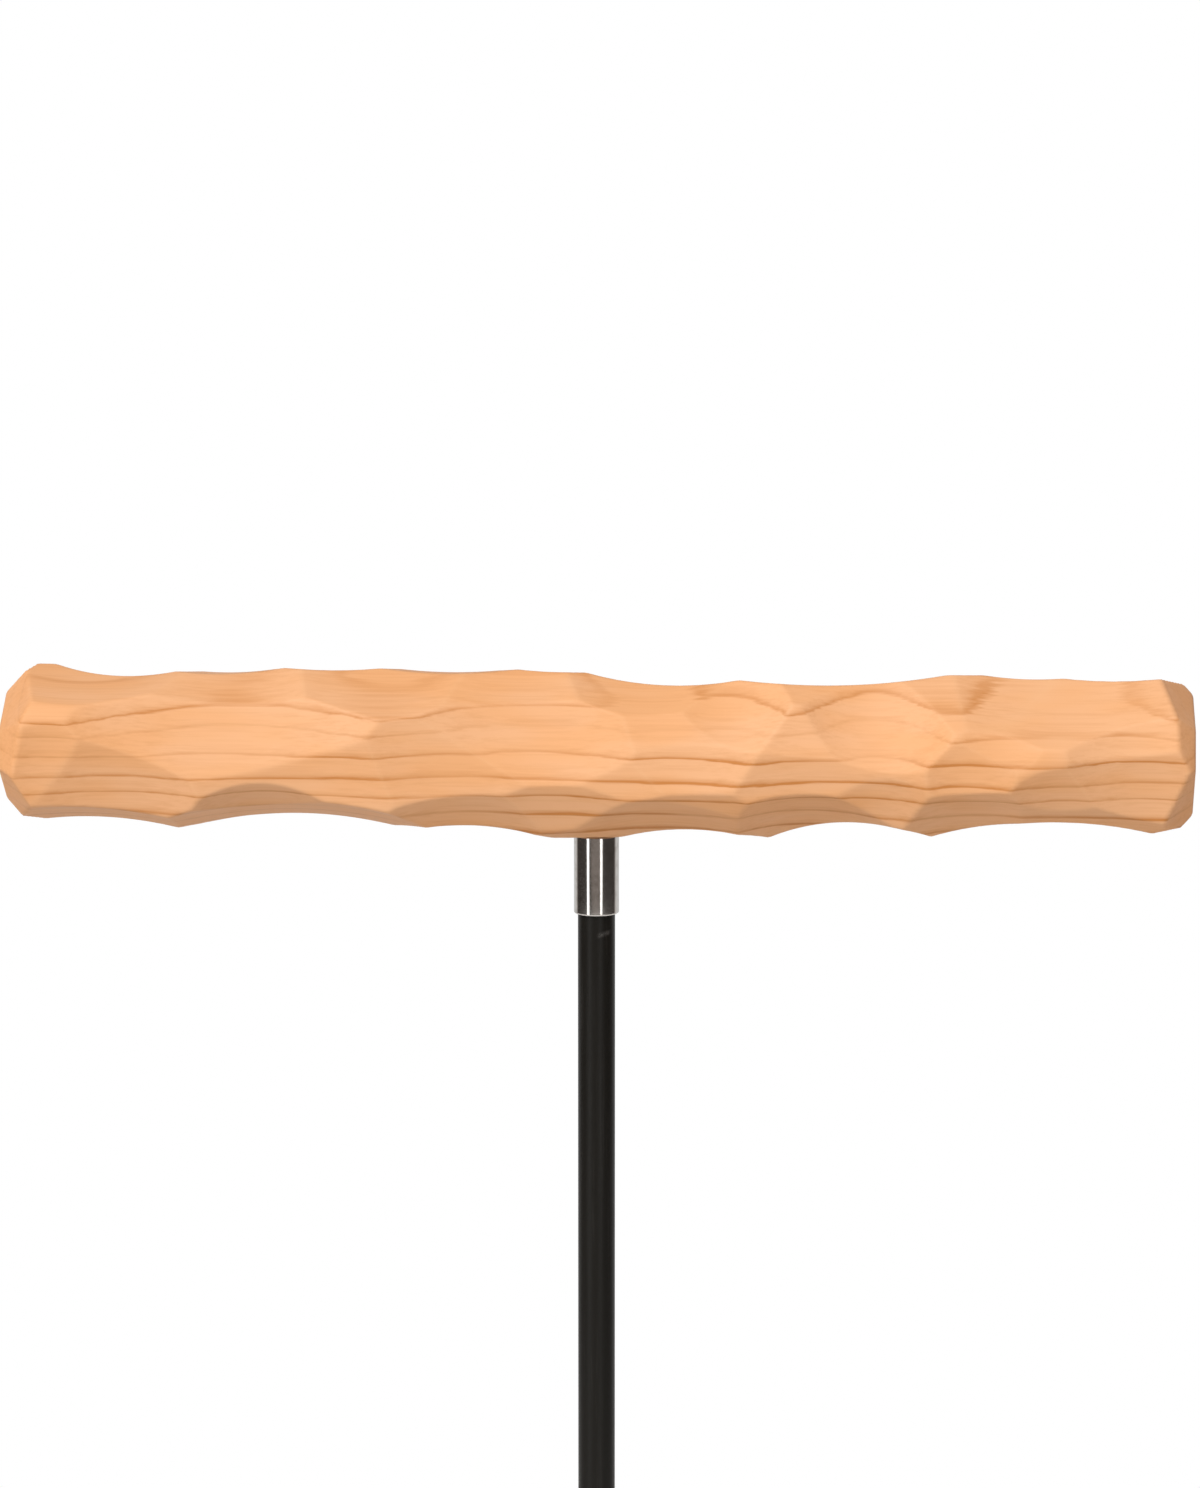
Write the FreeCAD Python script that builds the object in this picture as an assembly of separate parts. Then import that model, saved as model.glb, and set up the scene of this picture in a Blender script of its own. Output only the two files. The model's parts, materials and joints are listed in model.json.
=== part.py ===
"""Bird T-stand: a hand-carved wooden perch on a telescoping mast with a folding three-legged foot.

Frame: millimetres, +Z up, origin on the floor under the mast. The perch lies along X and its front faces -Y.
Every sub-part is its own solid and is written to parts/NODE.step.
"""

import FreeCAD
import Part
import math
import os
from collections import namedtuple

Vector = FreeCAD.Vector
ORIGIN = Vector(0, 0, 0)
X_AXIS = Vector(1, 0, 0)
Y_AXIS = Vector(0, 1, 0)
Z_AXIS = Vector(0, 0, 1)

# Clearances
PRESS_GAP = 0.05        # round pieces pressed or screwed together for good
PIVOT_GAP = 0.08        # pin in a pivot hole
SLIDE_GAP = 0.25        # tube in a guide
THREAD_GAP = 0.12       # screw in a tapped hole that it turns in
FACE_GAP = 0.1          # flat faces of two pieces that move on each other
STOP_GAP = 0.5          # room left before a sliding stop
OVERCUT = 1.0           # how far a cutter runs past the face that it opens

# Perch
PERCH_HEIGHT = 1000.0   # floor to the perch's axis
PERCH_LENGTH = 508.0
STOCK_RADIUS = 38.0     # the round bar before carving
SEAT_DEPTH = 1.3        # flat planed under the bar for the ferrule
SEAT_LENGTH = 36.0
SEAT_SHIFT = -6.0       # the flat's middle, along X from the mast

# Ferrule, and the double-ended bolt that holds the perch to the mast
FERRULE_LENGTH = 34.2
FERRULE_WALL = 1.45
FERRULE_CHAMFER = 0.7
SOCKET_DEPTH = 18.2     # length of mast inside the ferrule
BOLT_RADIUS = 4.75
BOLT_PITCH = 1.5875
BOLT_ENGAGEMENT = 12.7  # machine thread inside the mast plug
WOOD_THREAD_LENGTH = 38.0
WOOD_THREAD_PITCH = 3.2
WOOD_THREAD_DEPTH = 1.1
WASHER_THICKNESS = 2.4
WASHER_WIDTH = 2.6
WASHER_SPLIT = 1.2

# Mast and the tube that it slides in
MAST_RADIUS = 8.0
MAST_WALL = 1.5
MAST_INSERTION = 170.0  # length of mast inside the outer tube
MAST_PLUG_LENGTH = 22.0
TELESCOPE_GAP = 1.5     # between the mast and the outer tube's bore
OUTER_WALL = 1.5
OUTER_TOP = 556.0       # floor to the outer tube's upper end
TIP_FLOOR = 4.0         # rubber under the outer tube
TIP_WALL = 3.0
TIP_HEIGHT = 28.0
GLIDE_FLANGE = 3.0
GLIDE_HEIGHT = 6.0
GLIDE_DEPTH = 1.8
GLIDE_SPLIT = 2.0
GLIDE_SPIGOT = 14.0

# Height clamp
COLLAR_WALL = 6.0
COLLAR_SOCKET = 30.0    # length of outer tube inside the collar
CLAMP_ZONE = 22.0       # collar between the outer tube's end and the guide bush
BUSH_LENGTH = 16.0
BUSH_WALL = 2.0
BUSH_SPLIT = 2.0
COLLAR_LIP = 3.0
COLLAR_ROUND = 2.0
BOSS_RADIUS = 10.0
BOSS_REACH = 29.0       # mast axis to the boss's face
SCREW_RADIUS = 4.0
SCREW_PITCH = 1.25
SCREW_TURNS = 2.0       # from tight to free
SCREW_TIP_RADIUS = 2.2
SCREW_TIP_LENGTH = 2.0
PAD_THICKNESS = 4.5
INSERT_LENGTH = 11.0
INSERT_WALL = 1.6
KNOB_GAP = 2.5          # boss to knob when tight
KNOB_NECK = 5.0
KNOB_NECK_RADIUS = 9.0
KNOB_THICKNESS = 13.0
KNOB_RADIUS = 19.0
KNOB_SCALLOPS = 6
KNOB_SCALLOP_RADIUS = 7.5
KNOB_SCALLOP_BITE = 3.5
KNOB_ROUND = 1.6
FIXING_RADIUS = 1.9     # small screw that fixes the collar
FIXING_HEAD_RADIUS = 3.8
FIXING_HEAD_HEIGHT = 2.2

# Hub and its three legs
LEG_SIDES = ["rear", "left", "right"]
REAR_ANGLE = 90          # the first leg's angle round the mast from +X
LEG_SPREAD = 73.5       # a leg's angle from straight down
LEG_PIVOT_RADIUS = 30.0
LEG_PIVOT_HEIGHT = 104.0
HUB_WALL = 8.0
HUB_HEIGHT = 42.0
HUB_ROUND = 2.0
EAR_THICKNESS = 5.0
EAR_RADIUS = 9.0
TONGUE_THICKNESS = 10.0
TONGUE_RADIUS = 8.2
NECK_RELIEF = 1.0       # the tongue's neck is this much slimmer each side
FRICTION_WASHER = 1.0
FRICTION_WASHER_RADIUS = 7.5
PIN_RADIUS = 3.0
PIN_HEAD_RADIUS = 5.2
PIN_HEAD_HEIGHT = 3.6
NUT_RADIUS = 5.6
NUT_HEIGHT = 5.0
HEEL_TOP = 2.0          # heel above the pivot
HEEL_BOTTOM = 7.5       # heel below the pivot
LEG_RADIUS = 8.0
LEG_WALL = 1.2
SHOULDER_START = 12.5   # along the leg from its pivot
SHOULDER_LENGTH = 4.0
SPIGOT_LENGTH = 30.0
FOOT_COVER = 3.2        # rubber round the leg
FOOT_SLEEVE = 26.0      # leg inside the foot
FOOT_TOE = 24.0         # solid rubber past the leg's end
FOOT_CUSHION = 3.0      # least rubber under the leg's end
FOOT_RIBS = 3
FOOT_RIB_DEPTH = 0.8
HUB_SCREW_RADIUS = 2.5
HUB_SCREW_HEX = 1.3

# Sizes that follow from those above
SEAT_HEIGHT = PERCH_HEIGHT - STOCK_RADIUS + SEAT_DEPTH
FERRULE_BOTTOM = SEAT_HEIGHT - FERRULE_LENGTH
FERRULE_BORE = MAST_RADIUS + SLIDE_GAP
FERRULE_RADIUS = FERRULE_BORE + FERRULE_WALL
MAST_TOP = FERRULE_BOTTOM + SOCKET_DEPTH
MAST_BOTTOM = OUTER_TOP - MAST_INSERTION
MAST_BORE = MAST_RADIUS - MAST_WALL
WEB_BOTTOM = MAST_TOP + WASHER_THICKNESS
OUTER_BORE = MAST_RADIUS + TELESCOPE_GAP
OUTER_RADIUS = OUTER_BORE + OUTER_WALL
COLLAR_BORE = OUTER_RADIUS + PRESS_GAP
COLLAR_RADIUS = COLLAR_BORE + COLLAR_WALL
COLLAR_BOTTOM = OUTER_TOP - COLLAR_SOCKET
BUSH_BOTTOM = OUTER_TOP + CLAMP_ZONE
BUSH_TOP = BUSH_BOTTOM + BUSH_LENGTH
COLLAR_TOP = BUSH_TOP + COLLAR_LIP
GUIDE_BORE = MAST_RADIUS + SLIDE_GAP
SCREW_HEIGHT = OUTER_TOP + CLAMP_ZONE / 2
PAD_FACE = MAST_RADIUS + FACE_GAP
PAD_BACK = PAD_FACE + PAD_THICKNESS
KNOB_START = BOSS_REACH + KNOB_GAP
KNOB_END = KNOB_START + KNOB_NECK + KNOB_THICKNESS
HUB_BORE = OUTER_RADIUS + PRESS_GAP
HUB_RADIUS = HUB_BORE + HUB_WALL
EAR_INNER = TONGUE_THICKNESS / 2 + FRICTION_WASHER
EAR_OUTER = EAR_INNER + EAR_THICKNESS
PIN_HOLE = PIN_RADIUS + PIVOT_GAP
LEG_AZIMUTHS = {side: REAR_ANGLE + 360 * i / len(LEG_SIDES) for i, side in enumerate(LEG_SIDES)}
LEG_SLOPE = math.radians(LEG_SPREAD)
LEG_TO_FLOOR = LEG_PIVOT_HEIGHT / math.cos(LEG_SLOPE)
LEG_START = SHOULDER_START + SHOULDER_LENGTH
LEG_END = LEG_TO_FLOOR - (FOOT_CUSHION + LEG_RADIUS * math.sin(LEG_SLOPE)) / math.cos(LEG_SLOPE)
FOOT_RADIUS = LEG_RADIUS + FOOT_COVER

# Travel of the joints, printed for the record
SLIDE_UP = MAST_INSERTION - STOP_GAP
SLIDE_DOWN = FERRULE_BOTTOM - COLLAR_TOP - STOP_GAP
UNSCREW_TURNS = BOLT_ENGAGEMENT / BOLT_PITCH

# One stroke of the carving wheel: place along the bar as a share of its half length, angle round the bar
# from the front towards the top in degrees, least distance left to the bar's axis and curve of the stroke,
# both in stock radii.
Stroke = namedtuple("Stroke", "place angle left curve")
STROKES = [
    # front
    Stroke(-0.908, -8, 0.848, 1.6),
    Stroke(-0.615, 17, 0.740, 6.4),
    Stroke(-0.505, -8, 0.822, 9.3),
    Stroke(-0.228, -2, 0.800, 5.1),
    Stroke(-0.089, 17, 0.740, 4.7),
    Stroke(0.034, -3, 0.872, 5.1),
    Stroke(0.126, 23, 0.831, 5),
    Stroke(0.142, 7, 0.837, 3.3),
    Stroke(0.39, -9, 0.859, 4.6),
    Stroke(0.395, 19, 0.865, 3.4),
    Stroke(0.468, 32, 0.740, 1.7),
    Stroke(0.628, -5, 0.923, 1.7),
    Stroke(0.677, 17, 0.938, 1.7),
    Stroke(0.902, 15, 0.845, 2.1),
    Stroke(0.925, -15, 0.772, 2.5),
    # front, below
    Stroke(-0.8, -18, 0.790, 3.4),
    Stroke(-0.55, -48, 0.739, 1.7),
    Stroke(-0.199, -41, 0.846, 3),
    Stroke(-0.073, -30, 0.866, 4.4),
    Stroke(0.004, -63, 0.964, 3.8),
    Stroke(0.118, -53, 0.838, 3.7),
    Stroke(0.16, -37, 0.907, 3.6),
    Stroke(0.367, -53, 0.757, 2.1),
    Stroke(0.459, -26, 0.851, 1.6),
    Stroke(0.642, -47, 0.821, 2.2),
    Stroke(0.79, -29, 0.856, 2),
    Stroke(0.807, -47, 0.844, 7.3),
    # underneath
    Stroke(-0.866, -72, 0.768, 4.6),
    Stroke(-0.51, -72, 0.689, 4.9),
    Stroke(-0.219, -87, 0.821, 3.2),
    Stroke(0.167, -89, 0.850, 2.9),
    Stroke(0.437, -83, 0.766, 2.4),
    Stroke(0.77, -89, 0.681, 4.6),
    Stroke(1.011, -81, 0.785, 1.9),
    # front, above
    Stroke(-0.852, 72, 0.808, 6.3),
    Stroke(-0.61, 56, 0.816, 3.9),
    Stroke(-0.36, 60, 0.847, 6.3),
    Stroke(-0.12, 54, 0.853, 6.3),
    Stroke(0.09, 60, 0.795, 3.9),
    Stroke(0.221, 39, 0.798, 1.7),
    Stroke(0.44, 55, 0.895, 4.7),
    Stroke(0.553, 49, 0.885, 4.5),
    Stroke(0.746, 52, 0.811, 4.7),
    Stroke(0.786, 50, 0.797, 5.5),
    # on top
    Stroke(-0.939, 107, 0.899, 6.9),
    Stroke(-0.79, 103, 0.763, 2.6),
    Stroke(-0.64, 98, 0.821, 3.9),
    Stroke(-0.45, 102, 0.853, 5.3),
    Stroke(-0.25, 98, 0.853, 5.8),
    Stroke(-0.05, 104, 0.842, 4.7),
    Stroke(0.14, 104, 0.705, 3.9),
    Stroke(0.375, 101, 0.739, 7.7),
    Stroke(0.592, 103, 0.856, 9.4),
    Stroke(0.732, 105, 0.810, 4),
    Stroke(0.875, 110, 0.751, 5.3),
    # back, above
    Stroke(-0.88, 146, 0.811, 5.3),
    Stroke(-0.55, 150, 0.826, 5.8),
    Stroke(-0.22, 144, 0.800, 4.7),
    Stroke(0.1, 152, 0.821, 5.8),
    Stroke(0.42, 147, 0.795, 4.7),
    Stroke(0.76, 150, 0.816, 5.3),
    # back
    Stroke(-0.74, 192, 0.800, 7.4),
    Stroke(-0.4, 188, 0.784, 7.9),
    Stroke(-0.08, 195, 0.800, 6.8),
    Stroke(0.26, 190, 0.789, 7.9),
    Stroke(0.58, 186, 0.805, 7.4),
    Stroke(0.88, 193, 0.795, 6.8),
    # back, below
    Stroke(-0.86, 234, 0.805, 4.7),
    Stroke(-0.52, 230, 0.821, 5.3),
    Stroke(-0.2, 226, 0.816, 4.7),
    Stroke(0.14, 224, 0.826, 5.3),
    Stroke(0.46, 232, 0.800, 4.5),
    Stroke(0.8, 235, 0.821, 5),
]

# Flats knifed on the bar's two ends: side, angle round the bar, and reach from the corner in stock radii.
EndFlat = namedtuple("EndFlat", "side angle reach")
END_FLATS = [
    EndFlat(-1, 8, 0.33),
    EndFlat(-1, 58, 0.46),
    EndFlat(-1, 108, 0.45),
    EndFlat(-1, 155, 0.39),
    EndFlat(-1, 205, 0.42),
    EndFlat(-1, 258, 0.47),
    EndFlat(-1, 310, 0.44),
    EndFlat(1, 20, 0.3),
    EndFlat(1, 70, 0.42),
    EndFlat(1, 118, 0.34),
    EndFlat(1, 165, 0.32),
    EndFlat(1, 215, 0.30),
    EndFlat(1, 266, 0.39),
    EndFlat(1, 318, 0.42),
]
END_FLAT_LEAN = 45.0    # a flat's angle from the bar's axis


def rod(radius, low, high, base=ORIGIN, axis=Z_AXIS):
    """A round bar from low to high along an axis through base."""
    return Part.makeCylinder(radius, high - low, base + axis * low, axis)


def ring(outer, inner, low, high, base=ORIGIN, axis=Z_AXIS):
    """A round tube from low to high along an axis through base."""
    return rod(outer, low, high, base, axis).cut(rod(inner, low - OVERCUT, high + OVERCUT, base, axis))


def turned(profile):
    """A solid turned about Z from (radius, height) points."""
    points = [Vector(radius, 0, height) for radius, height in profile]
    return Part.Face(Part.makePolygon(points + points[:1])).revolve(ORIGIN, Z_AXIS, 360)


def hexagon(corner_radius, low, high):
    """A hexagonal bar about Z from low to high."""
    corners = [Vector(corner_radius, 0, low)]
    for i in range(1, 7):
        turn = math.radians(60 * i)
        corners.append(Vector(corner_radius * math.cos(turn), corner_radius * math.sin(turn), low))
    return Part.Face(Part.makePolygon(corners)).extrude(Z_AXIS * (high - low))


def slab(width, depth, low, high, reach_x=0.0):
    """An upright block from reach_x outwards along X, centred on Y."""
    return Part.makeBox(width, depth, high - low, Vector(reach_x, -depth / 2, low))


def thread_steps(major, minor, pitch, low, high):
    """Radius and height points of annular thread ridges, from low to high."""
    count = max(1, int((high - low) / pitch))
    step = (high - low) / count
    points = [(minor, low)]
    for i in range(count):
        points.append((major, low + step * (i + 0.5)))
        points.append((minor, low + step * (i + 1)))
    return points


def rounded(solid, radius, edges):
    """The solid with these edges rounded."""
    return solid.makeFillet(radius, edges)


def rim_edges(solid, radius, height):
    """The circular edges of that radius about Z at that height."""
    found = []
    for edge in solid.Edges:
        curve = edge.Curve
        if isinstance(curve, Part.Circle) and abs(curve.Radius - radius) < 1e-4:
            if abs(curve.Center.z - height) < 1e-4:
                found.append(edge)
    return found


def outward(angle):
    """Unit vector round the bar: angle 0 is the front, 90 the top."""
    turn = math.radians(angle)
    return Vector(0, -math.cos(turn), math.sin(turn))


def carving_wheel(stroke):
    """The wheel that takes one stroke out of the bar."""
    normal = outward(stroke.angle)
    across = X_AXIS.cross(normal)
    curve = stroke.curve * STOCK_RADIUS
    on_axis = Vector(stroke.place * PERCH_LENGTH / 2, 0, PERCH_HEIGHT)
    middle = on_axis + normal * (stroke.left * STOCK_RADIUS + curve)
    return rod(curve, -STOCK_RADIUS, STOCK_RADIUS, middle, across)


def end_knife(flat):
    """The block that takes one flat off an end of the bar."""
    side = 4 * STOCK_RADIUS
    lean = math.radians(END_FLAT_LEAN)
    normal = outward(flat.angle) * math.cos(lean) + X_AXIS * (flat.side * math.sin(lean))
    start = flat.side * (PERCH_LENGTH / 2 - flat.reach * STOCK_RADIUS)
    corner = X_AXIS * start + outward(flat.angle) * STOCK_RADIUS
    block = Part.makeBox(side, side, side, Vector(-side / 2, -side / 2, 0))
    block.Placement = FreeCAD.Placement(ORIGIN, FreeCAD.Rotation(Z_AXIS, normal))
    block.translate(corner + Z_AXIS * PERCH_HEIGHT)
    return block


def perch():
    """The carved bar, with the flat that sits on the ferrule and the hole for the bolt."""
    bar = rod(STOCK_RADIUS, -PERCH_LENGTH / 2, PERCH_LENGTH / 2, Z_AXIS * PERCH_HEIGHT, X_AXIS)
    for stroke in STROKES:
        bar = bar.cut(carving_wheel(stroke))
    for flat in END_FLATS:
        bar = bar.cut(end_knife(flat))
    seat_start = SEAT_SHIFT - SEAT_LENGTH / 2
    planed = slab(SEAT_LENGTH, 2 * STOCK_RADIUS, SEAT_HEIGHT - STOCK_RADIUS, SEAT_HEIGHT, seat_start)
    hole = rod(BOLT_RADIUS + PRESS_GAP, SEAT_HEIGHT - OVERCUT, SEAT_HEIGHT + WOOD_THREAD_LENGTH + STOP_GAP)
    return bar.cut(planed).cut(hole)


def perch_bolt():
    """Double-ended bolt: coarse thread up in the wood, machine thread down in the mast plug."""
    thread_end = MAST_TOP - BOLT_ENGAGEMENT
    wood_end = SEAT_HEIGHT + WOOD_THREAD_LENGTH
    core = BOLT_RADIUS - WOOD_THREAD_DEPTH
    machine_core = BOLT_RADIUS - 0.6 * BOLT_PITCH
    profile = [(0, thread_end)]
    profile += thread_steps(BOLT_RADIUS, machine_core, BOLT_PITCH, thread_end, MAST_TOP)
    profile += [(BOLT_RADIUS, MAST_TOP + BOLT_PITCH), (BOLT_RADIUS, SEAT_HEIGHT)]
    wood_start = SEAT_HEIGHT + WOOD_THREAD_DEPTH
    profile += thread_steps(BOLT_RADIUS, core, WOOD_THREAD_PITCH, wood_start, wood_end - core)
    profile += [(0, wood_end)]
    return turned(profile)


def ferrule():
    """Steel sleeve over the mast's upper end, with a web that the bolt goes through."""
    top = SEAT_HEIGHT
    inner = FERRULE_RADIUS - FERRULE_CHAMFER
    hole = BOLT_RADIUS + PRESS_GAP
    return turned([
        (FERRULE_BORE, FERRULE_BOTTOM),
        (inner, FERRULE_BOTTOM),
        (FERRULE_RADIUS, FERRULE_BOTTOM + FERRULE_CHAMFER),
        (FERRULE_RADIUS, top - FERRULE_CHAMFER / 2),
        (FERRULE_RADIUS - FERRULE_CHAMFER / 2, top),
        (hole, top),
        (hole, WEB_BOTTOM),
        (FERRULE_BORE, WEB_BOTTOM),
    ])


def lock_washer():
    """Split spring washer on the bolt, between the mast plug and the ferrule's web."""
    inner = BOLT_RADIUS + THREAD_GAP
    washer = ring(inner + WASHER_WIDTH, inner, MAST_TOP + FACE_GAP / 2, WEB_BOTTOM - FACE_GAP / 2)
    return washer.cut(slab(2 * FERRULE_BORE, WASHER_SPLIT, MAST_TOP, WEB_BOTTOM))


def mast_tube():
    """The upper tube of the mast."""
    return ring(MAST_RADIUS, MAST_BORE, MAST_BOTTOM, MAST_TOP)


def mast_plug():
    """Tapped plug pressed into the mast's upper end."""
    body = rod(MAST_BORE - PRESS_GAP, MAST_TOP - MAST_PLUG_LENGTH, MAST_TOP)
    return body.cut(rod(BOLT_RADIUS + THREAD_GAP, MAST_TOP - BOLT_ENGAGEMENT - BOLT_PITCH, MAST_TOP + OVERCUT))


def glide_plug():
    """Plastic plug in the mast's lower end, with a groove between two flanges for the glide ring."""
    flange = OUTER_BORE - SLIDE_GAP
    neck = flange - GLIDE_DEPTH
    bottom = MAST_BOTTOM - 2 * GLIDE_FLANGE - GLIDE_HEIGHT
    return turned([
        (0, bottom),
        (flange, bottom),
        (flange, bottom + GLIDE_FLANGE),
        (neck, bottom + GLIDE_FLANGE),
        (neck, bottom + GLIDE_FLANGE + GLIDE_HEIGHT),
        (flange, bottom + GLIDE_FLANGE + GLIDE_HEIGHT),
        (flange, MAST_BOTTOM),
        (MAST_BORE - PRESS_GAP, MAST_BOTTOM),
        (MAST_BORE - PRESS_GAP, MAST_BOTTOM + GLIDE_SPIGOT),
        (0, MAST_BOTTOM + GLIDE_SPIGOT),
    ])


def glide_ring():
    """Split ring in the plug's groove, running on the outer tube's bore."""
    low = MAST_BOTTOM - GLIDE_FLANGE - GLIDE_HEIGHT + FACE_GAP
    high = MAST_BOTTOM - GLIDE_FLANGE - FACE_GAP
    inner = OUTER_BORE - SLIDE_GAP - GLIDE_DEPTH + FACE_GAP
    body = ring(OUTER_BORE - FACE_GAP, inner, low, high)
    return body.cut(slab(2 * OUTER_BORE, GLIDE_SPLIT, low - OVERCUT, high + OVERCUT))


def outer_tube():
    """The lower tube, from the floor tip to the clamp collar, with the collar screw's hole."""
    tube = ring(OUTER_RADIUS, OUTER_BORE, TIP_FLOOR, OUTER_TOP)
    hole = rod(FIXING_RADIUS + PRESS_GAP, 0, 2 * OUTER_RADIUS, Z_AXIS * (OUTER_TOP - COLLAR_SOCKET / 2), Y_AXIS)
    return tube.cut(hole)


def tube_tip():
    """Rubber cap under the outer tube."""
    bore = OUTER_RADIUS + PRESS_GAP
    wide = bore + TIP_WALL
    edge = TIP_WALL / 3
    return turned([
        (0, 0),
        (wide - edge, 0),
        (wide, edge),
        (wide, TIP_HEIGHT / 2),
        (wide - edge, TIP_HEIGHT),
        (bore, TIP_HEIGHT),
        (bore, TIP_FLOOR),
        (0, TIP_FLOOR),
    ])


def clamp_collar():
    """Moulded collar on top of the outer tube: socket, clamp boss and seat for the guide bush."""
    body = rod(COLLAR_RADIUS, COLLAR_BOTTOM, COLLAR_TOP)
    rims = rim_edges(body, COLLAR_RADIUS, COLLAR_BOTTOM) + rim_edges(body, COLLAR_RADIUS, COLLAR_TOP)
    body = rounded(body, COLLAR_ROUND, rims)
    across = Z_AXIS * SCREW_HEIGHT
    body = body.fuse(rod(BOSS_RADIUS, 0, BOSS_REACH, across, X_AXIS))
    seat = MAST_RADIUS + BUSH_WALL + SLIDE_GAP + PRESS_GAP
    insert_seat = SCREW_RADIUS + INSERT_WALL + PRESS_GAP
    bores = [
        rod(COLLAR_BORE, COLLAR_BOTTOM - OVERCUT, OUTER_TOP),
        rod(GUIDE_BORE, OUTER_TOP - OVERCUT, COLLAR_TOP + OVERCUT),
        rod(seat, BUSH_BOTTOM, BUSH_TOP),
        rod(SCREW_RADIUS + SLIDE_GAP, 0, BOSS_REACH + OVERCUT, across, X_AXIS),
        rod(insert_seat, BOSS_REACH - INSERT_LENGTH, BOSS_REACH + OVERCUT, across, X_AXIS),
        rod(FIXING_RADIUS + PRESS_GAP, 0, 2 * COLLAR_RADIUS, Z_AXIS * (OUTER_TOP - COLLAR_SOCKET / 2), Y_AXIS),
    ]
    for bore in bores:
        body = body.cut(bore)
    return body.removeSplitter()


def guide_bush():
    """Split plastic bush that guides the mast at the collar's mouth."""
    body = ring(MAST_RADIUS + SLIDE_GAP + BUSH_WALL, GUIDE_BORE, BUSH_BOTTOM + FACE_GAP, BUSH_TOP - FACE_GAP)
    split = slab(2 * COLLAR_RADIUS, BUSH_SPLIT, BUSH_BOTTOM, BUSH_TOP)
    split.rotate(ORIGIN, Z_AXIS, 180)
    return body.cut(split)


def collar_screw():
    """Small pan-head screw through the collar into the outer tube's wall, at the back."""
    across = Z_AXIS * (OUTER_TOP - COLLAR_SOCKET / 2)
    shank = rod(FIXING_RADIUS, OUTER_BORE + PRESS_GAP, COLLAR_RADIUS + FIXING_HEAD_HEIGHT / 2, across, Y_AXIS)
    head = rod(FIXING_HEAD_RADIUS, COLLAR_RADIUS + FACE_GAP, COLLAR_RADIUS + FIXING_HEAD_HEIGHT, across, Y_AXIS)
    slot_width = FIXING_RADIUS / 2
    slot_low = COLLAR_RADIUS + FIXING_HEAD_HEIGHT / 2
    slot = Part.makeBox(2 * FIXING_HEAD_RADIUS, FIXING_HEAD_HEIGHT, slot_width)
    slot.translate(Vector(-FIXING_HEAD_RADIUS, slot_low, across.z - slot_width / 2))
    return shank.fuse(head).cut(slot).removeSplitter()


def pressure_pad():
    """Brass pad that the clamp screw pushes against the mast."""
    across = Z_AXIS * SCREW_HEIGHT
    body = rod(SCREW_RADIUS, 0, PAD_BACK, across, X_AXIS)
    body = body.cut(rod(PAD_FACE, SCREW_HEIGHT - 2 * SCREW_RADIUS, SCREW_HEIGHT + 2 * SCREW_RADIUS))
    socket = rod(SCREW_TIP_RADIUS + THREAD_GAP, PAD_BACK - SCREW_TIP_LENGTH, PAD_BACK + OVERCUT, across, X_AXIS)
    return body.cut(socket)


def clamp_insert():
    """Tapped brass insert in the collar's boss."""
    across = Z_AXIS * SCREW_HEIGHT
    bore = SCREW_RADIUS + THREAD_GAP
    start = BOSS_REACH - INSERT_LENGTH + PRESS_GAP
    return ring(SCREW_RADIUS + INSERT_WALL, bore, start, BOSS_REACH, across, X_AXIS)


def across_the_mast(solid):
    """Lays a solid built along +Z on the clamp screw's axis, along +X."""
    solid.rotate(ORIGIN, Y_AXIS, 90)
    solid.translate(Z_AXIS * SCREW_HEIGHT)
    return solid


def clamp_screw():
    """The clamp's screw, fixed in the knob."""
    start = PAD_BACK + FACE_GAP
    tip = start - SCREW_TIP_LENGTH + FACE_GAP
    core = SCREW_RADIUS - 0.6 * SCREW_PITCH
    profile = [(0, tip), (SCREW_TIP_RADIUS, tip), (SCREW_TIP_RADIUS, start)]
    profile += thread_steps(SCREW_RADIUS, core, SCREW_PITCH, start, KNOB_START)
    profile += [(SCREW_RADIUS, KNOB_START), (SCREW_RADIUS, KNOB_END - KNOB_THICKNESS / 2)]
    profile += [(0, KNOB_END - KNOB_THICKNESS / 2)]
    return across_the_mast(turned(profile))


def clamp_knob():
    """Scalloped knob with a neck, moulded round the screw's end."""
    head_start = KNOB_START + KNOB_NECK
    head = rod(KNOB_RADIUS, head_start, KNOB_END)
    for i in range(KNOB_SCALLOPS):
        turn = 2 * math.pi * i / KNOB_SCALLOPS
        reach = KNOB_RADIUS + KNOB_SCALLOP_RADIUS - KNOB_SCALLOP_BITE
        place = Vector(reach * math.cos(turn), reach * math.sin(turn), 0)
        head = head.cut(rod(KNOB_SCALLOP_RADIUS, head_start - OVERCUT, KNOB_END + OVERCUT, place))
    rims = [e for e in head.Edges if abs(e.BoundBox.ZLength) < 1e-6]
    head = rounded(head, KNOB_ROUND, rims)
    knob = head.fuse(rod(KNOB_NECK_RADIUS, KNOB_START, head_start + KNOB_ROUND))
    hole = rod(SCREW_RADIUS + PRESS_GAP, KNOB_START - OVERCUT, KNOB_END - KNOB_THICKNESS / 2 + PRESS_GAP)
    return across_the_mast(knob.cut(hole).removeSplitter())


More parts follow.
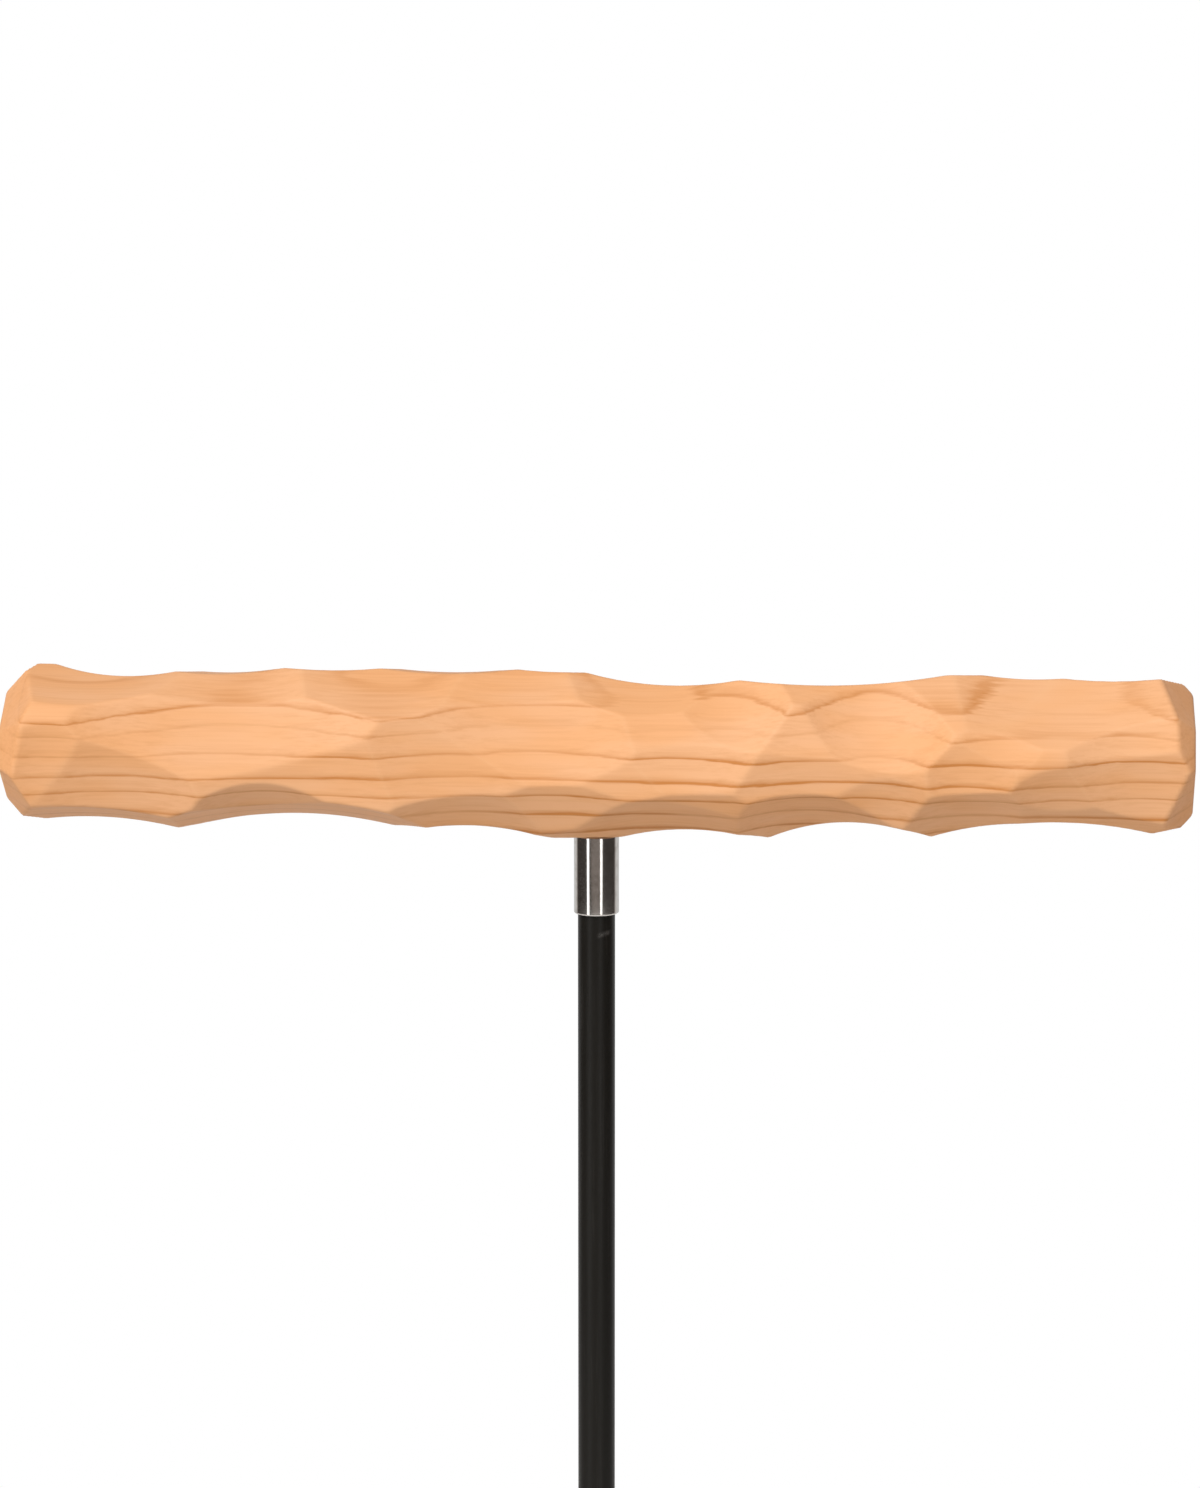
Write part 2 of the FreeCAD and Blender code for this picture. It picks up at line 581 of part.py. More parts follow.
def hub():
    """Cast hub on the outer tube, with a pair of ears for each leg."""
    low = LEG_PIVOT_HEIGHT - HUB_HEIGHT / 2
    high = LEG_PIVOT_HEIGHT + HUB_HEIGHT / 2
    body = rod(HUB_RADIUS, low, high)
    body = rounded(body, HUB_ROUND, rim_edges(body, HUB_RADIUS, low) + rim_edges(body, HUB_RADIUS, high))
    pivot = Vector(LEG_PIVOT_RADIUS, 0, LEG_PIVOT_HEIGHT)
    for azimuth in LEG_AZIMUTHS.values():
        for side in (-1, 1):
            start = side * (EAR_INNER + EAR_THICKNESS / 2) - EAR_THICKNESS / 2
            plate = Part.makeBox(LEG_PIVOT_RADIUS - HUB_BORE, EAR_THICKNESS, 2 * EAR_RADIUS)
            plate.translate(Vector(HUB_BORE, start, LEG_PIVOT_HEIGHT - EAR_RADIUS))
            ear = plate.fuse(rod(EAR_RADIUS, start, start + EAR_THICKNESS, pivot, Y_AXIS)).removeSplitter()
            ear = ear.cut(rod(PIN_HOLE, start - OVERCUT, start + EAR_THICKNESS + OVERCUT, pivot, Y_AXIS))
            ear.rotate(ORIGIN, Z_AXIS, azimuth)
            body = body.fuse(ear)
    body = body.cut(rod(HUB_BORE, low - OVERCUT, high + OVERCUT))
    body = body.cut(rod(HUB_SCREW_RADIUS + PRESS_GAP, 0, 2 * HUB_RADIUS, hub_screw_place(), Y_AXIS * -1))
    return body.removeSplitter()


def hub_screw_place():
    """Where the hub's set screw crosses the mast's axis."""
    return Z_AXIS * LEG_PIVOT_HEIGHT


def hub_screw():
    """Set screw that fixes the hub on the outer tube, at the front, with a hexagon socket."""
    length = HUB_RADIUS - HUB_BORE - PRESS_GAP
    body = rod(HUB_SCREW_RADIUS, 0, length)
    body = body.cut(hexagon(HUB_SCREW_HEX, length / 2, length + OVERCUT))
    body.rotate(ORIGIN, X_AXIS, 90)
    body.translate(hub_screw_place() - Y_AXIS * (HUB_BORE + PRESS_GAP / 2))
    return body


def at_leg(solid, azimuth):
    """Turns a solid built for a leg along +X to that leg's place."""
    solid.rotate(ORIGIN, Z_AXIS, azimuth)
    return solid


def along_leg(solid):
    """Lays a solid built along +Z from the origin on the axis of a leg along +X, from its pivot."""
    solid.rotate(ORIGIN, Y_AXIS, 180 - LEG_SPREAD)
    solid.translate(Vector(LEG_PIVOT_RADIUS, 0, LEG_PIVOT_HEIGHT))
    return solid


def leg_knuckle(azimuth):
    """Cast end of a leg: a tongue between the hub's ears, a heel that stops it at the floor, and a spigot."""
    half = TONGUE_THICKNESS / 2
    pivot = Vector(LEG_PIVOT_RADIUS, 0, LEG_PIVOT_HEIGHT)
    eye = rod(TONGUE_RADIUS, -half, half, pivot, Y_AXIS)
    heel_reach = LEG_PIVOT_RADIUS - HUB_RADIUS - STOP_GAP / 2
    heel = Part.makeBox(heel_reach, TONGUE_THICKNESS, HEEL_TOP + HEEL_BOTTOM)
    heel.translate(pivot + Vector(-heel_reach, -half, -HEEL_BOTTOM))
    neck_width = 2 * (TONGUE_RADIUS - NECK_RELIEF)
    neck = Part.makeBox(neck_width, TONGUE_THICKNESS, LEG_START, Vector(-neck_width / 2, -half, 0))
    shoulder = rod(LEG_RADIUS, SHOULDER_START, LEG_START)
    spigot = rod(LEG_RADIUS - LEG_WALL - PRESS_GAP, LEG_START, LEG_START + SPIGOT_LENGTH)
    arm = along_leg(neck.fuse(shoulder).fuse(spigot))
    body = eye.fuse(heel).fuse(arm).removeSplitter()
    body = body.cut(rod(PIN_HOLE, -2 * half, 2 * half, pivot, Y_AXIS))
    return at_leg(body, azimuth)


def leg_tube(azimuth):
    """The straight tube of a leg."""
    return at_leg(along_leg(ring(LEG_RADIUS, LEG_RADIUS - LEG_WALL, LEG_START, LEG_END)), azimuth)


def leg_foot(azimuth):
    """Ribbed rubber foot on a leg's end, cut flat where it stands on the floor."""
    sleeve_top = LEG_END - FOOT_SLEEVE
    bore = LEG_RADIUS + PRESS_GAP
    end = LEG_END + FOOT_TOE
    rib = FOOT_SLEEVE / (2 * FOOT_RIBS)
    profile = [(0, LEG_END), (bore, LEG_END), (bore, sleeve_top)]
    profile += [(FOOT_RADIUS - 2 * FOOT_RIB_DEPTH, sleeve_top)]
    for i in range(FOOT_RIBS):
        start = sleeve_top + 2 * rib * i + FOOT_RIB_DEPTH
        profile += [(FOOT_RADIUS, start), (FOOT_RADIUS, start + rib)]
        profile += [(FOOT_RADIUS - FOOT_RIB_DEPTH, start + rib + FOOT_RIB_DEPTH)]
    profile += [(FOOT_RADIUS, LEG_END), (FOOT_RADIUS, end - FOOT_COVER)]
    profile += [(FOOT_RADIUS - FOOT_COVER, end), (0, end)]
    foot = along_leg(turned(profile))
    floor_block = slab(2 * LEG_TO_FLOOR, 4 * FOOT_RADIUS, -4 * FOOT_RADIUS, 0)
    return at_leg(foot.cut(floor_block), azimuth)


def leg_pin(azimuth):
    """Bolt that a leg turns on, with a round head."""
    pivot = Vector(LEG_PIVOT_RADIUS, 0, LEG_PIVOT_HEIGHT)
    shank = rod(PIN_RADIUS, -EAR_OUTER, EAR_OUTER + NUT_HEIGHT, pivot, Y_AXIS)
    head = rod(PIN_HEAD_RADIUS, -EAR_OUTER - PIN_HEAD_HEIGHT, -EAR_OUTER, pivot, Y_AXIS)
    return at_leg(shank.fuse(head).removeSplitter(), azimuth)


def leg_nut(azimuth):
    """Lock nut on a leg's bolt."""
    nut = hexagon(NUT_RADIUS, 0, NUT_HEIGHT).cut(rod(PIN_RADIUS + PRESS_GAP, -OVERCUT, NUT_HEIGHT + OVERCUT))
    nut.rotate(ORIGIN, X_AXIS, -90)
    nut.translate(Vector(LEG_PIVOT_RADIUS, EAR_OUTER, LEG_PIVOT_HEIGHT))
    return at_leg(nut, azimuth)


def leg_washers(azimuth):
    """The two friction washers between a leg's tongue and the hub's ears."""
    pivot = Vector(LEG_PIVOT_RADIUS, 0, LEG_PIVOT_HEIGHT)
    half = TONGUE_THICKNESS / 2
    pair = []
    for side in (-1, 1):
        low = min(side * half, side * EAR_INNER) + FACE_GAP / 2
        high = max(side * half, side * EAR_INNER) - FACE_GAP / 2
        pair.append(ring(FRICTION_WASHER_RADIUS, PIN_HOLE, low, high, pivot, Y_AXIS))
    return at_leg(Part.makeCompound(pair), azimuth)


def sub_parts():
    """Every sub-part by the name of its node."""
    made = {
        "perch": perch(),
        "perch_bolt": perch_bolt(),
        "ferrule": ferrule(),
        "lock_washer": lock_washer(),
        "mast_tube": mast_tube(),
        "mast_plug": mast_plug(),
        "glide_plug": glide_plug(),
        "glide_ring": glide_ring(),
        "outer_tube": outer_tube(),
        "tube_tip": tube_tip(),
        "clamp_collar": clamp_collar(),
        "guide_bush": guide_bush(),
        "collar_screw": collar_screw(),
        "pressure_pad": pressure_pad(),
        "clamp_insert": clamp_insert(),
        "clamp_screw": clamp_screw(),
        "clamp_knob": clamp_knob(),
        "hub": hub(),
        "hub_screw": hub_screw(),
    }
    for side, azimuth in LEG_AZIMUTHS.items():
        made["leg_knuckle_" + side] = leg_knuckle(azimuth)
        made["leg_tube_" + side] = leg_tube(azimuth)
        made["leg_foot_" + side] = leg_foot(azimuth)
        made["leg_pin_" + side] = leg_pin(azimuth)
        made["leg_nut_" + side] = leg_nut(azimuth)
        made["leg_washers_" + side] = leg_washers(azimuth)
    return made


def main():
    """Builds every sub-part, writes its STEP file and prints the joints' travel."""
    os.makedirs("parts", exist_ok=True)
    for node, shape in sub_parts().items():
        shape.exportStep(os.path.join("parts", node + ".step"))
        print(f"{node}: {len(shape.Solids)} solid(s), {shape.Volume:.0f} mm3, valid {shape.isValid()}")
    print(f"mast slides {SLIDE_UP:.1f} up and {SLIDE_DOWN:.1f} down, perch unscrews {UNSCREW_TURNS:.2f} turns")


if __name__ == "__main__":
    main()
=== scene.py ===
"""Looks of a bird T-stand: a carved wooden perch on a black telescoping mast with a folding three-legged foot.

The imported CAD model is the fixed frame. The carved bar, the turned tubes, the knob and the rubber feet are
new surfaces worked out with numpy in millimetres. The castings and fittings are the CAD nodes, or copies of
them with broken edges.
"""

from __future__ import annotations

import json
import logging
import math
from dataclasses import dataclass, field, replace
from enum import Enum
from typing import Any, Iterable, Sequence

import bmesh
import bpy
import numpy as np
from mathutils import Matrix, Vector

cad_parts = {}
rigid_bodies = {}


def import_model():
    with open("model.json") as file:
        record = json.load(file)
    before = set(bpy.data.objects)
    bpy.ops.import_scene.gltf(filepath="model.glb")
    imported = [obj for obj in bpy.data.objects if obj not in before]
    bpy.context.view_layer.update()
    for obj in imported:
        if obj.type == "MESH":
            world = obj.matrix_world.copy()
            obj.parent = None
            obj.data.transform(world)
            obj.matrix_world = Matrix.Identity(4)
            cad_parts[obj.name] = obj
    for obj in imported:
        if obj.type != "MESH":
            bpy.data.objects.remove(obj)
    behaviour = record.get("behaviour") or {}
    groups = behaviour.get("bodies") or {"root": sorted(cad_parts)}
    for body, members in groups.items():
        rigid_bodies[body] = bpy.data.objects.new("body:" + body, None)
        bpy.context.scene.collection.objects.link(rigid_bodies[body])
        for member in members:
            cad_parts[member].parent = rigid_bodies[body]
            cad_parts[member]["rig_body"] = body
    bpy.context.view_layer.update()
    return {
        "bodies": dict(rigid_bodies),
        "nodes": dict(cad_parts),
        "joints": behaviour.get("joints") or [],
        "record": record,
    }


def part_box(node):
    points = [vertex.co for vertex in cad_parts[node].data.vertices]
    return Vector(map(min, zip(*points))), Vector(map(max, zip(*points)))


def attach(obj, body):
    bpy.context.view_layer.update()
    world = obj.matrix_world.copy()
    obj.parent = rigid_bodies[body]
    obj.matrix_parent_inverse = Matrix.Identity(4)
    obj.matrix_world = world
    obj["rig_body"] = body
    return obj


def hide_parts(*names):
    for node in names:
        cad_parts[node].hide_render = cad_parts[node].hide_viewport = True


LOG = logging.getLogger("stand")
MM = 0.001
SIDES = ("rear", "left", "right")
Colour = tuple[float, float, float]
Place = tuple[float, float, float]
Noise = tuple[float, float, float]
Span = tuple[float, float]
Ramp = tuple[float, float, float, float]
Array = np.ndarray


class Slot(str, Enum):
    """Material slots of the record, by the finish that they carry."""

    WOOD = "wood"
    BRIGHT_STEEL = "bright_steel"
    STEEL = "steel"
    BLACK_PAINT = "black_paint"
    BLACK_CASTING = "black_casting"
    BLACK_PLASTIC = "black_plastic"
    PALE_PLASTIC = "pale_plastic"
    RUBBER = "rubber"
    BRASS = "brass"


# Shader maths


class Value:
    """One output socket of a shader tree; arithmetic on it adds Math nodes."""

    def __init__(self, tree: "ShaderTree", socket: bpy.types.NodeSocket) -> None:
        """Keeps the tree and the socket."""
        self.tree = tree
        self.socket = socket

    def math(self, operation: str, first: Any, second: Any = None) -> "Value":
        """Adds one Math node.

        Args:
            operation: The Math node's operation.
            first: Its first value.
            second: Its second value, where it has one.

        Returns:
            The node's result.
        """
        sockets = {0: first} if second is None else {0: first, 1: second}
        return self.tree.node("ShaderNodeMath", {"operation": operation}, sockets)

    def __add__(self, other: Any) -> "Value":
        """The sum."""
        return self.math("ADD", self, other)

    __radd__ = __add__

    def __sub__(self, other: Any) -> "Value":
        """The difference."""
        return self.math("SUBTRACT", self, other)

    def __rsub__(self, other: Any) -> "Value":
        """The difference, with this value taken away."""
        return self.math("SUBTRACT", other, self)

    def __mul__(self, other: Any) -> "Value":
        """The product."""
        return self.math("MULTIPLY", self, other)

    __rmul__ = __mul__

    def __truediv__(self, other: Any) -> "Value":
        """The quotient."""
        return self.math("DIVIDE", self, other)

    def __pow__(self, other: Any) -> "Value":
        """The power."""
        return self.math("POWER", self, other)

    def __abs__(self) -> "Value":
        """The absolute value."""
        return self.math("ABSOLUTE", self)

    def root(self) -> "Value":
        """The square root."""
        return self.math("SQRT", self)

    def floor(self) -> "Value":
        """The whole number below."""
        return self.math("FLOOR", self)

    def fraction(self) -> "Value":
        """What is left above the whole number."""
        return self.math("FRACT", self)

    def step(self, low: float, high: float, start: float = 0.0, end: float = 1.0) -> "Value":
        """A smooth step.

        Args:
            low: Where the step begins.
            high: Where it ends.
            start: Result at and before low.
            end: Result at and after high.

        Returns:
            The stepped value.
        """
        sockets = {"Value": self, "From Min": low, "From Max": high, "To Min": start, "To Max": end}
        return self.tree.node("ShaderNodeMapRange", {"interpolation_type": "SMOOTHSTEP"}, sockets)


class ShaderTree:
    """A node tree that is written as expressions."""

    def __init__(self, tree: bpy.types.NodeTree) -> None:
        """Empties the tree and keeps it."""
        self.tree = tree
        tree.nodes.clear()

    def node(
        self,
        kind: str,
        settings: dict[str, Any] | None = None,
        sockets: dict[str | int, Any] | None = None,
        output: str | int = 0,
    ) -> Value:
        """Adds one node.

        Args:
            kind: The node's type.
            settings: Its settings, set before the sockets.
            sockets: Values or links of its input sockets.
            output: The output that the result stands for.

        Returns:
            That output.
        """
        made = self.tree.nodes.new(kind)
        for name, setting in (settings or {}).items():
            setattr(made, name, setting)
        for key, value in (sockets or {}).items():
            if isinstance(value, Value):
                self.tree.links.new(value.socket, made.inputs[key])
            else:
                made.inputs[key].default_value = value
        return Value(self, made.outputs[output] if made.outputs else None)

    def coordinates(self) -> Value:
        """Object coordinates in millimetres."""
        place = self.node("ShaderNodeTexCoord", output="Object")
        return self.node("ShaderNodeVectorMath", {"operation": "SCALE"}, {0: place, "Scale": 1.0 / MM})

    def stretched(self, place: Value, scale: Sequence[float]) -> Value:
        """The coordinates times a scale along each axis."""
        return self.node("ShaderNodeVectorMath", {"operation": "MULTIPLY"}, {0: place, 1: tuple(scale)})

    def axes(self, place: Value) -> tuple[Value, Value, Value]:
        """The three parts of a vector."""
        parts = self.node("ShaderNodeSeparateXYZ", sockets={0: place}).socket.node.outputs
        return tuple(Value(self, parts[i]) for i in range(3))

    def noise(self, place: Value, scale: float, detail: float = 2.0, rough: float = 0.5) -> Value:
        """Noise from 0 to 1.

        Args:
            place: Coordinates in millimetres.
            scale: Cells per millimetre.
            detail: Octaves.
            rough: Weight of the finer octaves.

        Returns:
            The noise.
        """
        sockets = {"Vector": place, "Scale": scale, "Detail": detail, "Roughness": rough}
        return self.node("ShaderNodeTexNoise", None, sockets, "Fac")

    def random(self, number: Value) -> Value:
        """A random number from 0 to 1 for each whole number."""
        return self.node("ShaderNodeTexWhiteNoise", {"noise_dimensions": "1D"}, {"W": number}, "Value")

    def attribute(self, name: str) -> Value:
        """A number that the mesh carries at its points."""
        return self.node("ShaderNodeAttribute", {"attribute_name": name}, None, "Fac")

    def mix(self, share: Any, first: Any, second: Any, blend: str = "MIX") -> Value:
        """Mixes two colours.

        Args:
            share: Share of the second.
            first: First colour, or a link to one.
            second: Second colour, or a link to one.
            blend: How they are mixed.

        Returns:
            The mixed colour.
        """
        pair = [c if isinstance(c, Value) else (*c, 1.0) for c in (first, second)]
        settings = {"data_type": "RGBA", "blend_type": blend, "clamp_result": False}
        return self.node("ShaderNodeMix", settings, {0: share, 6: pair[0], 7: pair[1]}, 2)

    def bump(self, height: Value, depth: float, strength: float = 1.0) -> Value:
        """A normal from a height.

        Args:
            height: The height, from 0 to 1.
            depth: Millimetres that a height of 1 stands for.
            strength: Strength of the effect.

        Returns:
            The bumped normal.
        """
        sockets = {"Height": height, "Distance": depth * MM, "Strength": strength}
        return self.node("ShaderNodeBump", None, sockets, "Normal")

    def surface(self, **sockets: Any) -> None:
        """Ends the tree in a Principled surface; names are the sockets' with _ for a space."""
        named = {key.replace("_", " "): value for key, value in sockets.items()}
        shader = self.node("ShaderNodeBsdfPrincipled", None, named)
        self.node("ShaderNodeOutputMaterial", None, {"Surface": shader})


# Finishes


@dataclass(frozen=True)
class Finish:
    """A finish that dresses every piece of one material slot."""

    slot: Slot

    def shade(self, tree: ShaderTree) -> None:
        """Writes the finish into an empty tree."""
        raise NotImplementedError

    def material(self) -> bpy.types.Material:
        """Makes the material."""
        made = bpy.data.materials.new("finish_" + self.slot.value)
        made.use_nodes = True
        self.shade(ShaderTree(made.node_tree))
        return made


@dataclass(frozen=True)
class CarvedWood(Finish):
    """Pale softwood with growth rings about a pith outside the bar, cut through by the carving.

    Lengths are in millimetres. A span is a share of a ring. A ramp is a step's two ends and its results there.
    """

    slot: Slot = Slot.WOOD
    early: Colour = (0.885, 0.442, 0.196)
    early_pink: Colour = (0.893, 0.474, 0.237)
    late: Colour = (0.62, 0.236, 0.058)
    # painted highlight: a paler colour laid along the carved ridges
    ridge_highlight: Colour = (0.95, 0.60, 0.34)
    end_shade: Colour = (0.95, 0.91, 0.86)
    bar_height: float = 1000.0
    pith_back: float = -78.0
    pith_up: float = 124.0
    pith_tilt: float = 0.012
    ring: float = 8.0
    ring_growth: float = 0.006
    growth_start: float = 118.0
    ring_sway: float = 0.9
    ring_change: float = 0.43
    sway_length: float = 130.0
    sway_width: float = 45.0
    sway: float = 6.0
    feather: float = 1.5
    dusk: Span = (0.30, 0.92)
    dusk_power: float = 3.5
    dusk_share: float = 0.50
    late_band: Span = (0.78, 0.91)
    clearing: Span = (0.90, 1.0)
    line_least: float = 0.34
    line_spread: float = 0.62
    patch_ramp: Ramp = (0.32, 0.66, 0.40, 1.0)
    slant_ramp: Ramp = (0.35, 0.97, 1.25, 0.40)
    end_ramp: Ramp = (0.06, 0.50, 1.0, 0.35)
    side_ramp: Ramp = (-220.0, 140.0, 0.66, 1.12)
    line_share: float = 1.9
    fibre_share: float = 0.70
    streak_share: float = 0.34
    least_dark: float = 0.03
    ridge_highlight_share: float = 0.10

    def rings(self, tree: ShaderTree, place: Value) -> Value:
        """Distance from the pith, counted in rings.

        Args:
            tree: The tree.
            place: Coordinates in millimetres.

        Returns:
            The distance, with its sway.
        """
        x, y, z = tree.axes(place)
        wide = (1 / self.sway_length, 1 / self.sway_width, 1 / self.sway_width)
        sway = tree.noise(tree.stretched(place, wide), 1.0, 1.5, 0.45) - 0.5
        shift = tree.noise(tree.stretched(place, tuple(3.1 * w for w in wide)), 1.0, 1.0) - 0.5
        across = y - self.pith_back + x * self.pith_tilt
        above = z - (self.bar_height + self.pith_up)
        feather = tree.noise(tree.stretched(place, (0.03, 0.6, 0.6)), 1.0, 2.0, 0.6) - 0.5
        bent = sway * self.sway + shift * (self.sway / 5) + feather * self.feather
        radius = (across * across + above * above).root() + bent
        widened = 1.0 + (radius - self.growth_start) * self.ring_growth
        turns = widened.math("LOGARITHM", widened, math.e) / (self.ring * self.ring_growth)
        sockets = {"W": turns, "Scale": self.ring_change}
        width = tree.node("ShaderNodeTexNoise", {"noise_dimensions": "1D"}, sockets, "Fac")
        return turns + width * self.ring_sway + 20.0

    def latewood(self, part: Value) -> Value:
        """How dark a ring is at a share of its width: slowly darker, then a fine line, then clear again."""
        dusk = part.step(*self.dusk) ** self.dusk_power * self.dusk_share
        dark = dusk + part.step(*self.late_band) * (1 - self.dusk_share)
        return dark * part.step(*self.clearing, 1.0, 0.0)

    def line_weight(self, tree: ShaderTree, place: Value, turns: Value) -> Value:
        """How strongly a ring's line shows.

        Args:
            tree: The tree.
            place: Coordinates in millimetres.
            turns: Distance from the pith, in rings.

        Returns:
            A weight that differs from ring to ring, in patches, with the cut's slant to the ring, at the
            ends and from one side of the bar to the other.
        """
        faded = tree.noise(tree.stretched(place, (0.012, 0.03, 0.03)), 1.0, 2.0).step(*self.patch_ramp)
        weight = tree.random(turns.floor()) * self.line_spread + self.line_least
        weight = weight * faded * tree.attribute("along_ring").step(*self.slant_ramp)
        weight = weight * tree.attribute("end_grain").step(*self.end_ramp)
        return weight * tree.axes(place)[0].step(*self.side_ramp)

    def shade(self, tree: ShaderTree) -> None:
        """Rings that darken towards a fine latewood line, fine fibres, deeper end grain and a painted highlight
        on the ridges.
        """
        place = tree.coordinates()
        turns = self.rings(tree, place)
        line = self.latewood(turns.fraction())
        fibre = tree.noise(tree.stretched(place, (0.014, 1.0, 1.0)), 0.8, 4.0, 0.65)
        streak = tree.noise(tree.stretched(place, (0.008, 0.35, 0.35)), 1.0, 2.0)
        cloud = tree.noise(tree.stretched(place, (0.014, 0.05, 0.05)), 1.0, 2.0)
        early = tree.mix(cloud.step(0.35, 0.65), self.early, self.early_pink)
        darkness = line * self.line_weight(tree, place, turns) * self.line_share
        darkness = darkness + (fibre - 0.5) * self.fibre_share + (streak - 0.5) * self.streak_share
        grained = tree.mix(darkness + self.least_dark, early, self.late)
        shaded = tree.mix(1.0, grained, self.end_shade, "MULTIPLY")
        ended = tree.mix(tree.attribute("end_grain"), grained, shaded)
        # the paler colour along the carved ridges is a painted highlight
        tree.surface(
            Base_Color=tree.mix(tree.attribute("ridge_highlight") * self.ridge_highlight_share, ended, self.ridge_highlight),
            Roughness=0.54 + fibre * 0.10 - line * 0.05,
            Specular_IOR_Level=0.35,
            Normal=tree.bump(fibre * 0.7 + line * 0.12, 0.05, 0.5),
        )


@dataclass(frozen=True)
class BrightSteel(Finish):
    """Turned and polished stainless steel with fine lines round it."""

    slot: Slot = Slot.BRIGHT_STEEL
    tone: Colour = (0.66, 0.63, 0.60)
    dull: Colour = (0.52, 0.49, 0.46)
    lines: float = 9.0

    def shade(self, tree: ShaderTree) -> None:
        """Lines by height alone, with faint handling marks."""
        place = tree.coordinates()
        lines = tree.noise(tree.stretched(place, (0.0, 0.0, 1.0)), self.lines, 2.0, 0.7)
        marks = tree.noise(place, 0.25, 4.0, 0.6)
        tree.surface(
            Base_Color=tree.mix(marks.step(0.45, 0.75), self.tone, self.dull),
            Metallic=1.0,
            Roughness=0.10 + marks * 0.04 + lines * 0.03,
            Normal=tree.bump(lines, 0.002, 0.5),
        )


@dataclass(frozen=True)
class SatinPaint(Finish):
    """Satin black paint on the tubes, with faint rub marks along them."""

    slot: Slot = Slot.BLACK_PAINT
    tone: Colour = (0.0082, 0.0070, 0.0052)
    worn: Colour = (0.020, 0.018, 0.0155)
    scuff: Colour = (0.10, 0.095, 0.09)
    scuff_place: Place = (3.6, -7.2, 921.0)

    def shade(self, tree: ShaderTree) -> None:
        """Orange peel, rub marks and one scuff under the ferrule."""
        place = tree.coordinates()
        peel = tree.noise(place, 0.7, 2.0, 0.5)
        rub = tree.noise(tree.stretched(place, (0.5, 0.5, 0.02)), 1.0, 3.0, 0.65)
        cloud = tree.noise(place, 0.03, 3.0)
        base = tree.mix(rub.step(0.52, 0.80, 0.0, 0.8), self.tone, self.worn)
        off = tree.node("ShaderNodeVectorMath", {"operation": "SUBTRACT"}, {0: place, 1: self.scuff_place})
        x, y, z = tree.axes(off)
        along = abs(x * 0.16 + (z - x * 0.42) * 0.9)
        near = along.step(0.2, 1.4, 1.0, 0.0) * abs(x).step(1.5, 3.4, 1.0, 0.0)
        near = near * abs(y).step(2.0, 4.0, 1.0, 0.0)
        scuffed = near * tree.noise(place, 2.2, 3.0, 0.7).step(0.35, 0.65)
        tree.surface(
            Base_Color=tree.mix(scuffed * 0.7, base, self.scuff),
            Roughness=0.33 + cloud * 0.10 + peel * 0.04,
            Specular_IOR_Level=0.22,
            Normal=tree.bump(peel, 0.012, 0.5),
        )


@dataclass(frozen=True)
class CastMetal(Finish):
    """Powder-coated casting with a fine sandy skin."""

    slot: Slot = Slot.BLACK_CASTING
    tone: Colour = (0.018, 0.0175, 0.017)
    dust: Colour = (0.045, 0.043, 0.040)

    def shade(self, tree: ShaderTree) -> None:
        """Sand at two scales."""
        place = tree.coordinates()
        sand = tree.noise(place, 1.6, 3.0, 0.6)
        cloud = tree.noise(place, 0.08, 3.0)
        tree.surface(
            Base_Color=tree.mix((sand * cloud).step(0.28, 0.5, 0.0, 0.7), self.tone, self.dust),
            Roughness=0.50 + sand * 0.16,
            Specular_IOR_Level=0.4,
            Normal=tree.bump(sand, 0.09, 0.6),
        )


@dataclass(frozen=True)
class Patchy(Finish):
    """A tone with patches of a second tone over a fine grain.

    A noise is its cells per millimetre, octaves and the weight of the finer ones. The roughness is its least
    value and what the patches and the grain add to it; the relief is its depth in millimetres and its strength.
    """

    tone: Colour
    patch_tone: Colour
    patch: Noise
    patch_span: Span
    grain: Noise
    rough: tuple[float, float, float]
    relief: Span
    metal: float = 0.0
    specular: float = 0.5

    def shade(self, tree: ShaderTree) -> None:
        """Patches in the colour, grain in the relief."""
        place = tree.coordinates()
        patch, grain = tree.noise(place, *self.patch), tree.noise(place, *self.grain)
        least, by_patch, by_grain = self.rough
        tree.surface(
            Base_Color=tree.mix(patch.step(*self.patch_span), self.tone, self.patch_tone),
            Metallic=self.metal,
            Roughness=least + patch * by_patch + grain * by_grain,
            Specular_IOR_Level=self.specular,
            Normal=tree.bump(grain, *self.relief),
        )


PLATED_STEEL = Patchy(
    Slot.STEEL, tone=(0.60, 0.60, 0.58), patch_tone=(0.56, 0.52, 0.44), patch=(0.22, 3.0, 0.5),
    patch_span=(0.35, 0.7), grain=(4.0, 2.0, 0.5), rough=(0.26, 0.14, 0.0), relief=(0.01, 0.4), metal=1.0,
)
BLACK_PLASTIC = Patchy(
    Slot.BLACK_PLASTIC, tone=(0.020, 0.020, 0.021), patch_tone=(0.032, 0.032, 0.034), patch=(0.12, 4.0, 0.6),
    patch_span=(0.4, 0.7), grain=(2.4, 2.0, 0.5), rough=(0.42, 0.10, 0.0), relief=(0.03, 0.6),
)
PALE_PLASTIC = replace(
    BLACK_PLASTIC, slot=Slot.PALE_PLASTIC, tone=(0.72, 0.70, 0.64), patch_tone=(0.66, 0.63, 0.56),
    rough=(0.38, 0.10, 0.0),
)
BLACK_RUBBER = Patchy(
    Slot.RUBBER, tone=(0.020, 0.0195, 0.019), patch_tone=(0.050, 0.048, 0.045), patch=(0.10, 4.0, 0.65),
    patch_span=(0.42, 0.72), grain=(3.0, 2.0, 0.6), rough=(0.72, 0.0, 0.14), relief=(0.03, 0.6), specular=0.3,
)
